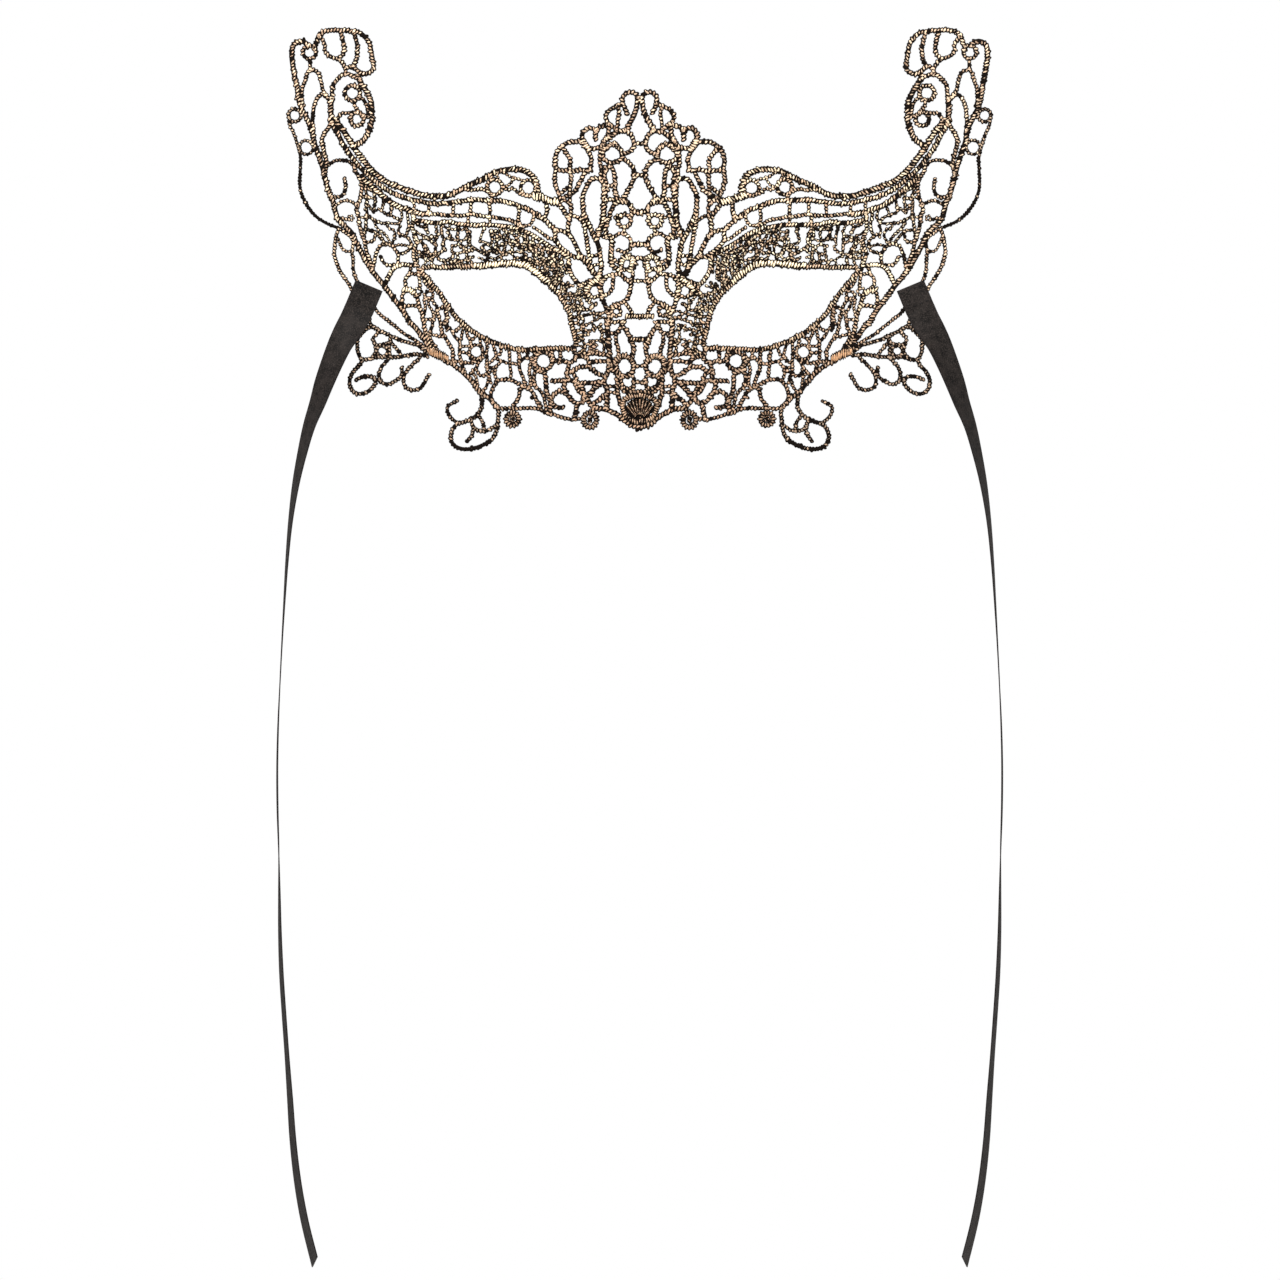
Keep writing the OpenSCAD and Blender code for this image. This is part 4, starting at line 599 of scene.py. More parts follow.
@dataclass
class LaceField:
    """A run of cords that is stitched as one. A field on the centre line is made with both its halves.

    node is the frame's node that it stands for, without its side. wrap is how its cords are laid. satin and
    tan are bars of close stitches: satin ones have the clearest foil, and tan ones a warmer one.
    """

    node: str = ""
    slot: Slot = Slot.BRONZE
    wrap: Wrap = CORD
    cords: tuple[Route, ...] = ()
    rings: tuple[Ring, ...] = ()
    satin: tuple[Route, ...] = ()
    tan: tuple[Route, ...] = ()
    central: bool = False

    def lay(self, thread: ThreadMesh, side: Side) -> None:
        """Lays the field's cords, rings, satin bars and tan bars on one side."""
        for cord in self.cords:
            closed = len(cord) > 2
            thread.cord(smooth(points(cord[1], side), closed), cord[0], self.wrap, closed)
        for u, z, radius, width in self.rings:
            turn = np.linspace(0, math.tau, 33)
            circle = np.column_stack([-side.value * u + radius * np.cos(turn), z + radius * np.sin(turn)])
            thread.cord(circle, width, self.wrap, True)
        for bars, wrap in ((self.satin, SATIN), (self.tan, TAN)):
            for cord in bars:
                thread.cord(smooth(points(cord[1], side)), cord[0], wrap)

    def build(self) -> list[bpy.types.Object]:
        """Makes the field's pieces, one for each node it stands for."""
        made = []
        for sides in ((BOTH,) if self.central else ((Side.LEFT,), (Side.RIGHT,))):
            node = self.node if self.central else f"{self.node}_{sides[0].word}"
            thread = ThreadMesh(f"lace_{node}")
            for side in sides:
                self.lay(thread, side)
            piece = thread.write(self.slot)
            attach(piece, "lace")
            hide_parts(node)
            made.append(piece)
        return made


@dataclass
class WingTip(LaceField):
    """Scalloped tip of the wing, with long drops inside it."""

    node: str = "wing_tip"
    wrap: Wrap = Wrap(pitch=1.1, bare=0.06, swell=1.2)
    cords: tuple[Route, ...] = (
        (1.5, (112, 87.6, 112, 84)),
        (1.5, (111.9, 84.2, 113.1, 82.3, 113.5, 80.5, 114.2, 78.7, 114.7, 77.2, 114.8, 73.7, 114.2, 71.5)),
        (1.5, (112.2, 83.9, 110.6, 83.5, 109.3, 82.8, 108.6, 81, 108.1, 79, 107.7, 77, 106.3, 74.6, 105,
          73.6)),
        (1.9, (110.7, 90.6, 109.6, 93.7, 109.1, 95.2, 107.8, 96.5, 106, 97.1, 103.8, 97.3, 101.7, 97.1,
          99.7, 97.2, 97.7, 96.7, 95.7, 96.6, 94.1, 95.6, 92.9, 94.4, 91.9, 92.9, 91.4, 90.9, 91, 88.6, 90.6,
          86.3, 90.4, 84.8, 91.2, 83.3, 92.9, 82.4, 94.4, 82.5, 95.7, 83.3, 97.4, 84.9)),
        (1.7, (101.7, 96.8, 101.2, 94.9, 100.6, 92.5, 100.5, 89.8, 101.4, 88.4, 102.5, 87.4)),
        (1.7, (97, 96, 96.3, 93.5, 95.9, 91, 96.1, 88.3, 96.6, 86.3, 97.7, 85.1, 99.4, 84.5)),
        (1.6, (109.2, 95.6, 107.7, 93.8, 106.9, 91.8, 107.1, 90.4, 106.3, 89.1, 104.8, 88.1, 103, 87.6,
          101.9, 87, 100.7, 85.6, 100, 84, 99.9, 82)),
    )
    rings: tuple[Ring, ...] = (
        (112.2, 89.8, 2.3, 1.6),
    )


@dataclass
class WingInner(LaceField):
    """Heart shaped curl on the wing's inner edge."""

    node: str = "wing_inner"
    wrap: Wrap = Wrap(pitch=1.1, bare=0.06, swell=1.3)
    cords: tuple[Route, ...] = (
        (1.6, (104.7, 73.2, 104.5, 76.5, 104.4, 78.2, 103.7, 79.3, 102.5, 80.8, 101.2, 82, 99.7, 82.5, 97.9,
          81.9, 96.4, 81.2, 95.2, 80.3)),
        (2.1, (95.9, 81.9, 94.9, 79.5, 93.9, 78, 92.9, 76.5, 91.9, 74.4, 91.2, 72.5, 91.1, 70.6, 91.2, 68.6,
          90.9, 67.1, 91.4, 65.3, 92.1, 62.9, 92.9, 61.2, 93.9, 59.9, 95.2, 58.8, 96.4, 58.3, 97.6, 58.2)),
        (1.3, (97.2, 73.6, 96.7, 71.2, 95.4, 69.6, 93.9, 68.4, 92.2, 67.6)),
        (1.3, (95, 74.4, 93.8, 73.5, 92.9, 72, 92.5, 70.1, 92.3, 68)),
        (1.4, (103, 66.6, 102, 68.3, 101, 69.1, 99.7, 69, 98.2, 69.2, 96.7, 69.4)),
        (2.1, (104.9, 74.2, 105, 70.5, 104.8, 65.6)),
        (1.6, (104.7, 66.2, 105.8, 64, 107, 62.3, 107.9, 60.5, 107.9, 58.9, 107.5, 57, 106.9, 54.5, 106.4,
          52.3, 106.6, 50.3, 107.4, 48)),
    )
    rings: tuple[Ring, ...] = (
        (97.6, 75.9, 2.6, 1.6),
        (96.1, 67, 2.3, 1.6),
    )


@dataclass
class TempleSpine(LaceField):
    """The long cord down the wing's outer edge to the cheek."""

    node: str = "temple_spine"
    wrap: Wrap = Wrap(pitch=1.1, bare=0.13, lean=34, swell=1.28)
    cords: tuple[Route, ...] = (
        (2, (112.6, 91.8, 113.9, 93.2, 115.9, 93.4, 117.6, 92.2, 118.2, 90.4, 118.2, 88.1, 117.9, 85.6,
          117.2, 81.3, 116.3, 77.2, 115.9, 73.9, 114.9, 70.6, 113.1, 67.1, 111.4, 63.3, 110.9, 60.2, 110.2,
          57.7, 108.8, 53.9, 107.7, 50.3, 106.8, 46.3, 105.7, 42.5, 104.2, 38.9, 103.4, 35.5, 102.7, 33.3,
          101.2, 31.4, 99.2, 29.7, 97.7, 28, 96.2, 24.8, 94.4, 21.3, 92.1, 17.3, 89.6, 13.7, 86.8, 10.5, 84.5,
          7.2, 81.7, 3.6, 79.7, 0.7, 78.2, -1.9, 76, -4.1, 74.2, -6.6, 72.2, -9.4, 71, -11.6)),
        (1.5, (105.6, 73.6, 107.3, 75.4, 108.6, 75.1, 109.6, 73.9, 110.4, 72.4, 110.9, 69.9, 111.2, 66.5,
          110.9, 62.6)),
    )


@dataclass
class TempleLoop(LaceField):
    """Thin outer loop that hangs beside the wing."""

    node: str = "temple_loop"
    slot: Slot = Slot.DARK
    wrap: Wrap = Wrap(pitch=1.1, bare=0.08, dark_under=55)
    cords: tuple[Route, ...] = (
        (1.3, (119.2, 67.4, 118.9, 65, 117.9, 62.9, 116.7, 59.7, 116, 57, 115.3, 54.2, 115.3, 50.6, 115.5,
          46.8, 115.4, 43.5, 114.4, 40.2, 112.4, 36.7, 109.6, 33.6, 105.8, 31.3, 101.6, 29.8)),
    )
    rings: tuple[Ring, ...] = (
        (117.2, 68.3, 2.2, 1.5),
        (113.3, 57.4, 2.4, 1.3),
    )


@dataclass
class TempleCurls(LaceField):
    """Curls between the spine and the lower wing."""

    node: str = "temple_curls"
    wrap: Wrap = Wrap(pitch=1.1, bare=0.1, swell=1.25)
    cords: tuple[Route, ...] = (
        (1.3, (107.3, 50, 104.8, 52.2, 103.3, 52.9, 101.7, 53.1, 100, 53, 98.5, 52.4, 97, 51.1)),
        (1.4, (105.6, 40.9, 103.3, 40.5, 101.7, 40.7, 100.5, 41.7, 100, 43.2, 100, 45, 100.4, 46.8)),
        (1.5, (97.2, 51.5, 96.7, 49.3, 95.4, 47.5, 94.6, 45.5, 94.4, 43.7, 94.7, 41.7, 95, 39.9, 95.9, 38.2,
          96.2, 36.2, 95.7, 34.4, 95.3, 32, 94.9, 29.4, 94.3, 27.5, 93.5, 25.5, 92.9, 22.1, 92.1, 20.3, 90.8,
          16.4)),
        (1.2, (104, 37.2, 102.8, 38, 101.5, 38.9, 100, 39.4, 98.5, 39.1, 96.9, 38.3, 95.5, 37.6)),
        (1.2, (103, 33.2, 101.2, 33.4, 100, 33, 98.7, 32.8)),
    )
    rings: tuple[Ring, ...] = (
        (98.1, 33.4, 0.8, 0.8),
    )


@dataclass
class TempleLeaf(LaceField):
    """Two long cords under the ribbon's sewn end."""

    node: str = "temple_leaf"
    wrap: Wrap = Wrap(pitch=1.1, bare=0.1, lean=34, swell=1.2)
    cords: tuple[Route, ...] = (
        (1.4, (102.3, 29.6, 103.2, 27.2, 103.6, 24.5, 103.8, 21.5, 103.2, 18.8, 102.2, 16.2, 100.6, 13.4,
          98.7, 10.7, 96.8, 6.8, 94.4, 2.2, 92.2, -1.8)),
        (1.3, (101.6, 29.5, 99.9, 28.3, 98.2, 27, 97.3, 25.4, 97.6, 23, 97.8, 21.8, 97.5, 19.8, 97.3, 15.8,
          96.4, 12.5, 93.6, 7.4, 90, 2.6, 88, 0.4, 86.1, -1, 84.1, -2.7, 81.9, -4.4, 80.2, -5.8, 78, -7.2, 76,
          -8.3, 74, -9.7, 72, -11.7)),
        (1.1, (103, 27.2, 101.7, 24.4, 101, 22.9, 99.7, 22, 97.6, 22.1)),
    )


@dataclass
class TempleHook(LaceField):
    """Hooked cord and the ladder of rings beside the eye's outer corner."""

    node: str = "temple_hook"
    slot: Slot = Slot.GOLD
    wrap: Wrap = Wrap(bare=0.08, swell=1.2)
    cords: tuple[Route, ...] = (
        (1.4, (90.8, 16, 90.1, 18.6, 89.8, 20.6, 89.1, 22.3, 88.3, 23.8, 86.3, 24.6, 84.3, 24.1, 83, 22.6,
          82, 20.4, 82.4, 17.2)),
        (1.3, (88, 20.2, 87.3, 18.6, 86, 17.5, 84.5, 17.4, 82.3, 17.5)),
        (1.6, (86.7, 10.6, 85.6, 13, 84.6, 15, 83, 16.6, 81, 17.5, 78.6, 17.5, 76.4, 17.3)),
        (1.4, (77.8, 17.2, 77.9, 15.6, 78.4, 14.3, 79.4, 13.3, 79.8, 12, 79.7, 10.8, 79.2, 9.7, 78.6, 8.9)),
        (1.4, (79.7, 8.8, 80.3, 8.1, 80.7, 6.9, 80.8, 5.6, 80.6, 4.4, 81.2, 3.2)),
        (1.4, (78.4, 14.2, 77, 14.5, 75.2, 14.2)),
        (1.8, (80, 8.9, 78.2, 8.9, 77, 8.1, 75.9, 6.8)),
        (1.5, (79.8, 3.3, 78, 3.6, 76, 3.7, 74.9, 3.2)),
        (1.7, (75.7, 6.7, 75.2, 4.7, 74.8, 2.9, 74.1, 1.5, 73.7, -0.3, 73.4, -2.1, 73.2, -3.9, 72.7, -5.5,
          72.3, -6.9, 71.8, -8.5, 70.6, -11.2)),
        (1.4, (75.6, 17.2, 75.1, 14.6, 74.8, 12.1, 74.7, 10.6, 74.9, 9.4)),
    )
    satin: tuple[Route, ...] = (
        (1.6, (86.2, 11.7, 84.6, 15, 83, 16.6, 81, 17.5, 78.6, 17.5)), (2.1, (80.2, 9, 78.2, 8.9, 76.8, 8)))
    rings: tuple[Ring, ...] = (
        (75.3, 8.4, 1.2, 1),
    )


@dataclass
class WingRoot(LaceField):
    """Loose net inside the lower wing."""

    node: str = "wing_root"
    slot: Slot = Slot.NET
    wrap: Wrap = NET
    cords: tuple[Route, ...] = (
        (1.2, (93.4, 46.8, 93.2, 43.2, 92.7, 40.8, 92.9, 38.1, 92.7, 35.5, 92.9, 33.3, 93.2, 30.7, 93.8,
          27.2)),
        (1.1, (92.8, 38.4, 91.6, 37.1, 90.3, 35.5, 88.9, 36.5, 87.6, 35.7, 86.3, 34.9, 84.7, 34.4, 83.1,
          33.6, 81.5, 32.4)),
        (1.1, (92.8, 34.6, 91.3, 33.3, 89.5, 32.3, 87.3, 31.7, 85.5, 31.7, 83.6, 31.5, 82, 31.7, 81.5, 30.7,
          82, 29.1, 81.4, 27.2)),
        (1.2, (93.2, 29.3, 91.6, 29.3, 90, 28.8, 88.4, 27.2, 87.3, 25.9, 86.2, 24.6)),
        (1, (90.4, 32.6, 89.2, 29.9, 87.3, 28.5, 86, 27.2, 84.9, 25.2)),
        (1, (86, 31.9, 85.5, 30.1, 83.6, 29.3, 83.1, 27.5, 84, 25.1)),
        (1.2, (81.6, 28, 79.9, 27.4, 78.3, 26.1, 77.7, 24.5, 78.3, 22.7, 79.3, 21.9, 81.7, 21.3)),
        (1, (83, 24, 80.9, 24.3, 79.3, 24, 77.7, 23.7)),
        (1, (81, 35.9, 80.7, 34, 80.9, 33.3, 81.6, 31.6)),
        (1.2, (79, 35.6, 78.8, 33.3, 78.5, 31.2, 78.8, 29.1, 79.6, 27.2)),
        (1.1, (90.6, 43.6, 90.2, 41.6, 89.9, 39.4, 90.2, 37.4, 90.4, 35.4)),
        (1.1, (86.9, 40.1, 87.2, 38.2, 87.8, 35.9)),
        (1.1, (83.7, 37.6, 84.4, 36.2, 84.9, 34.2)),
        (1.1, (94.9, 44.8, 93, 43.6, 91, 42.8, 89.2, 42)),
        (1.1, (95.2, 40.6, 93, 40.4, 91, 40.2, 89.9, 40)),
        (1, (95.6, 33.6, 94, 33.8, 92.9, 33.6)),
        (1.1, (93.3, 25.4, 91.6, 25.2, 90.2, 26.2, 89.8, 28.4)),
    )


@dataclass
class BrowEdge(LaceField):
    """Upper edge of the brow, with its small rings and pale satin bar."""

    node: str = "brow_edge"
    slot: Slot = Slot.GOLD
    wrap: Wrap = Wrap(pitch=1.1, bare=0.05, swell=1.38)
    cords: tuple[Route, ...] = (
        (2, (103.4, 67.2, 102, 64.6, 100.7, 63.1, 98.5, 59.7, 97.4, 57.9, 94.9, 54.4, 92.4, 51.1, 90, 48.7,
          88.1, 47.1, 86.3, 45.8, 84.4, 44.9, 82.3, 44.1, 79.9, 43.2, 78, 42.5, 75.9, 41.9, 74, 41.3, 72,
          40.9, 70, 40.8, 67.9, 40.8, 66, 40.9, 63.9, 41.4, 62, 42.4, 60.1, 43.4, 58, 44.6, 55.9, 45.5, 54,
          46.2, 52.1, 47.2, 50, 48.4, 47.9, 49.3, 45.7, 49.7, 43.3, 50, 40.7, 49.8, 38.3, 49, 36.5, 47.7,
          35.4, 45.9, 34.9, 44, 34.6, 42.1, 34, 40.8)),
        (1.3, (60.3, 43.2, 56.7, 42.9, 54.5, 43.2, 52.7, 42.9, 51.3, 42.1, 50.3, 40.8, 50.3, 38.8)),
        (1.3, (50.6, 48.1, 50.2, 46.3)),
        (0.9, (48.8, 48.9, 47.9, 46.2)),
        (0.9, (46.9, 49.4, 44.1, 47.5, 42.8, 46.9, 40.4, 46.4, 39.5, 45.4)),
        (0.9, (42.8, 47.3, 43.6, 45.6, 44.7, 44.5, 46.1, 43.9)),
        (1.2, (46.2, 44.1, 44.7, 42.9, 43.1, 43.5, 42, 42.7, 41.2, 41.9, 39.6, 41.3, 38.3, 40.8, 36.3,
          40.8)),
    )
    rings: tuple[Ring, ...] = (
        (49.3, 43.9, 2.6, 1.5),
        (37.9, 43.7, 2.6, 1.3),
    )
    satin: tuple[Route, ...] = ((2.9, (35.9, 41, 34.2, 40.6, 32.4, 40, 30.4, 39.3, 28, 38.7)),)


@dataclass
class BrowBand(LaceField):
    """Sweeping bands across the brow, tied by short bars."""

    node: str = "brow_band"
    slot: Slot = Slot.GOLD
    wrap: Wrap = Wrap(pitch=1.1, bare=0.05, swell=1.4)
    cords: tuple[Route, ...] = (
        (1.7, (105.4, 67, 103.5, 63.6, 102.3, 61.5, 101.2, 59.2, 100, 57.2, 97.4, 53.6, 94.7, 50.3, 91.6,
          47.4, 88.1, 44.5, 84.9, 42.4, 81.9, 41, 79.4, 40.1, 77.2, 39.6, 74, 39, 71.3, 38.4, 68.7, 38.2, 66,
          38.4, 63.3, 38.8, 60.7, 39.1, 58, 39.4, 55.3, 39.6, 53.2, 39.5, 51.6, 39.4, 50.3, 39.3, 48.7, 39.4,
          46.8, 39.2, 45.2, 38.9, 43.6, 38.4, 42, 37.9, 40.7, 37.3, 39.3, 36.8, 37.7, 36.3, 36.4, 35.5, 35.1,
          34.7, 33.7, 33.8, 32.4, 32.6)),
        (2, (94.8, 47.6, 92, 45, 89.7, 43, 88, 41.4, 86, 39.7, 83.6, 38.2, 81.5, 37.1, 79.6, 36.5, 77.7,
          35.9, 75.9, 35.2, 74, 34.8, 71.3, 34.8)),
        (1.3, (71.8, 34.9, 69.2, 34.7, 67.1, 34.4, 64.7, 34.2, 63.3, 34.3, 61.2, 34.2, 59.1, 34.3, 57.2,
          34.7, 55.3, 34.4, 53.5, 34.1, 51.6, 33.8, 50, 33.8, 48.4, 33.5, 46.5, 33.1, 44.7, 32.8, 43.1, 32.2,
          42, 31.5, 40.7, 30.9, 39.2, 30.7)),
        (1.1, (63.3, 38.8, 63.5, 34.2)),
        (1.1, (57.2, 39.4, 57.5, 36.6, 57.3, 34.6)),
        (1.2, (51.4, 39.4, 51.1, 37.6, 50.8, 36, 51.2, 33.7)),
        (1.2, (41.6, 37.8, 40.9, 36, 41.2, 34.4, 41.2, 32.8, 40.3, 30.7)),
        (1.1, (36.5, 35.7, 35.9, 33.9, 36.4, 32.5, 37.5, 31, 39.6, 30.8)),
        (0.9, (35.9, 33.9, 33.4, 33.3)),
        (1.1, (58.3, 34.6, 58.3, 31)),
        (1.1, (51, 33.9, 50.8, 31)),
        (1.1, (72.4, 39, 71.6, 37, 72, 34.6)),
        (1, (78, 40.2, 76.6, 38, 77, 35.4)),
        (1, (69.8, 38.6, 69.6, 41.2)),
        (1.1, (35.9, 30.2, 34.3, 29.1, 32.7, 27.9, 31.1, 26.7, 29, 25.9)),
    )


@dataclass
class EyeRim(LaceField):
    """Dense rim round the eye opening."""

    node: str = "eye_rim"
    slot: Slot = Slot.GOLD
    wrap: Wrap = Wrap(pitch=0.98, bare=0.03, lean=20, swell=1.3, ragged=0.14)
    cords: tuple[Route, ...] = (
        (1.8, (74.4, 15.9, 71.9, 16.7, 69.7, 16.8, 67.9, 16.6, 65.2, 16.6, 63.3, 16.7, 61.5, 16.9, 59.3,
          16.8, 57.2, 17, 55.3, 17, 53.2, 17.1, 51.1, 17.3, 48.9, 17.6, 46.8, 17.8, 44.7, 17.9, 42.5, 17.8,
          40.4, 17.5, 38.5, 16.8, 36.9, 16, 35.3, 14.9, 34, 13.8, 32.3, 12.3, 30.7, 10.8, 29.2, 9.3, 27.8,
          7.8, 26.6, 6.1, 25.6, 4.4, 24.7, 2.7, 23.9, 1, 23.4, -0.8, 23.1, -3, 22.5, -5.3, 21.9, -7.3, 21.6,
          -9.4, 22.8, -10.9, 25.3, -10.9, 27.9, -10.9, 30.4, -11, 32.9, -11.1, 35.5, -11.2, 38, -11.4, 40.6,
          -11.4, 43.2, -11, 45.6, -10.4, 47.4, -9.7, 48.9, -9.1, 50.5, -8.5, 52.1, -7.8, 53.7, -7, 55.1, -6.2,
          56.4, -5.4, 58, -4.2, 59.4, -3, 60.5, -2, 61.9, -0.8, 63, 0.3, 63.8, 1.5, 64.6, 2.8, 65.4, 4, 66.3,
          5.1, 67.1, 6.5, 68, 7.9, 69, 9, 70, 10, 70.9, 11.2, 71.8, 12.4, 72.9, 13.8), 1),
    )
    satin: tuple[Route, ...] = (
        (2.6, (56, 17.2, 53.2, 17.3, 49, 17.7, 44.7, 18, 40.6, 17.8, 37.2, 16.4, 34.2, 14.1, 31.6, 11.7)),)


@dataclass
class CheekNet(LaceField):
    """Drawn net between the eye's lower rim and the cheek's edge."""

    node: str = "cheek_net"
    wrap: Wrap = Wrap(pitch=1.1, bare=0.1, lift=1.1, swell=1.24, ragged=0.14)
    cords: tuple[Route, ...] = (
        (1.2, (74.2, 15, 73.2, 12.2, 72.3, 10.4, 71.2, 9.6, 70.6, 8.4, 70.2, 7, 71, 6.1, 72.5, 6.1)),
        (1.2, (71.6, 5.9, 72.9, 6.5, 72.9, 7.8, 71.6, 8.5, 69, 9.2)),
        (1.2, (73, 6.6, 73.2, 4.7, 72.7, 3.1, 73.4, 0.6)),
        (1.1, (71.8, 6.3, 71.8, 4.2, 71.2, 2.9, 70.3, 1.5, 70, -0.6)),
        (1.1, (70.4, 6.6, 70.3, 4.9, 69.4, 3.9, 68.6, 2.2)),
        (1.4, (65.4, 4.3, 67.3, 2.9, 68.7, 2.4, 69.3, 1.3, 69.9, -0.1, 70.4, -1.4, 70.4, -2.8, 70.9, -4.4,
          71.4, -5.8, 71.2, -7.6, 70.5, -8.9, 69.6, -10.1, 68.7, -12)),
        (1.2, (73.8, -1, 71.8, -1.1, 70, -1)),
        (1.2, (73.2, -5.6, 71.2, -6.2, 69, -6.5, 67.8, -7, 66, -6.8)),
        (1.9, (65.3, 3.5, 65.9, 1.5, 65.4, -0.3, 65.9, -2.1, 65.2, -4.4)),
        (1.4, (68.9, 2, 68.2, -0.5, 67.8, -2.1, 67.5, -3.9, 67.2, -5.5, 66.6, -6.4, 65.9, -7.6, 65, -8.7,
          64.4, -10.1, 63.6, -11.4, 63.4, -13.2, 63.6, -14.8, 62.9, -16.6)),
        (1.3, (67.6, -3, 66.6, -2.6, 65.4, -1.8)),
        (1.3, (65.4, -4.3, 64.1, -4.3, 63.6, -5.6, 62.6, -7.2, 61.3, -8.5, 61, -10.1, 61.2, -11.7, 61.1,
          -13.5, 60.9, -15.2, 60.2, -17.1, 59.5, -19)),
        (1.3, (63.3, -5.2, 61.8, -4.4, 60.3, -2.4)),
        (1.2, (59.8, -3, 60.3, -5.5, 60.6, -7.4, 61.2, -8.8)),
        (1.2, (59.2, -3.6, 58.7, -6, 57.8, -7.6, 57.6, -8.9, 57.2, -10.5)),
        (1.2, (57.6, -8.6, 56.2, -7.2, 54.8, -6.4)),
        (1.2, (61, -10.4, 58.8, -10.1, 57, -10.4)),
        (1.4, (64.6, -15.3, 61.4, -15.3, 59.6, -15.7, 57.5, -15.9, 55.6, -15.4, 54.2, -14.3)),
        (1.2, (61.1, -12.2, 58.5, -12.6, 57.6, -13.9, 56.9, -15.4)),
        (1.2, (54.2, -7.4, 54.2, -9.2, 53.4, -10.7, 53.3, -12.3, 53.3, -13.9, 54.6, -15.6, 55.6, -17.4,
          56.6, -18.6, 58.2, -20.2)),
        (1.3, (52, -8.4, 51.9, -10.4, 52.1, -12.5, 51.9, -14.7, 51.9, -16.8, 51.7, -19.2)),
        (1.2, (50, -9.2, 49.4, -11.2, 48.9, -13.4, 50.2, -15.2, 51.9, -16.2)),
        (1.2, (46.9, -10.6, 47.4, -12.6, 48.9, -13.4)),
        (1.3, (44.6, -11.2, 44.3, -12.8, 44.1, -14.9, 44.1, -17.1, 43.7, -19.2, 44, -21.4)),
        (1.2, (48.8, -13.6, 47.8, -15, 46.5, -15.3, 45.2, -15.8, 43.4, -16.1, 41, -16.2)),
        (1.2, (51.8, -17.6, 50, -17.4, 48.9, -17.1, 47.2, -15.4)),
        (1.2, (49, -17.2, 49.2, -19.7, 48.6, -21.6)),
        (1.2, (55.4, -17.1, 55.2, -19, 53.7, -20.3, 52.1, -19.7, 50.3, -18.6, 49, -18.4)),
        (1.2, (51.9, -19.4, 51.1, -20.8, 50.6, -22.6)),
        (1.2, (57.1, -19.2, 55.6, -20.6, 55.3, -22.4, 55, -24.6)),
        (1.2, (51.4, -21.4, 52, -23.6, 52.9, -25.1, 54.2, -25.5)),
        (1.4, (41.2, -11.9, 40.9, -13.3, 41, -16, 40.6, -18.7, 39.6, -20.8, 38.9, -23.4)),
        (1.3, (40.6, -15.6, 39.4, -14.3, 38.2, -14, 36.8, -14.6, 37.2, -16.5, 37.5, -18.7, 37.1, -20.8,
          37.1, -22.9, 37.7, -24.8)),
        (1.2, (38.3, -14.4, 38.2, -12.6, 38.4, -11.6)),
        (1.2, (36.9, -14.9, 35.8, -13.1, 35.6, -11.4)),
    )
    rings: tuple[Ring, ...] = (
        (55.6, -12.1, 2.4, 1.2),
    )


@dataclass
class CheekEdge(LaceField):
    """Lower edge of the cheek and the loops above it."""

    node: str = "cheek_edge"
    wrap: Wrap = Wrap(bare=0.08, swell=1.25)
    cords: tuple[Route, ...] = (
        (1.9, (66.4, -15.2, 64, -16, 62.3, -17.2, 60.9, -18.2, 59.6, -19.5, 58.3, -20.8, 56.9, -22.1, 55.9,
          -23.6, 54.8, -25.1, 53.7, -26.3, 52, -27.2, 50.6, -28.4, 49.5, -29.8, 48.2, -31)),
        (1.4, (49, -30.7, 47.3, -31.3, 45.7, -31.4, 44.2, -31.2, 42.6, -31.3, 40.9, -31.4, 39.3, -31.2,
          36.7, -31.2, 34.8, -31.4, 33.2, -32, 31.7, -32.9, 30.1, -32.9, 29.1, -33.3, 27.9, -33.9, 26.1,
          -34.4, 24.3, -34.8, 22.8, -35.2, 21.3, -34.9, 19.4, -34.9)),
        (1.5, (49.9, -29.4, 50.6, -27.2, 50.3, -25.3, 49.6, -23.7, 48.6, -22.4, 47.7, -21.7, 46, -21.4,
          43.6, -21.7, 41.7, -22.6, 39.9, -23.6, 38.4, -24.4, 37, -25.2, 36.1, -26.3, 35.3, -28, 34.3, -29.7,
          33.4, -31.6)),
        (1.6, (39.7, -24, 40.7, -25, 40.9, -26.7, 41.5, -28.5, 42.7, -29.8, 43.2, -31.2)),
        (1.3, (37.6, -24.4, 36.3, -23.2, 35, -24.2, 33.6, -25.6, 32.6, -27.3, 32.2, -29.4, 31.8, -31.6)),
        (1.1, (36, -26.4, 36.6, -27.6)),
    )


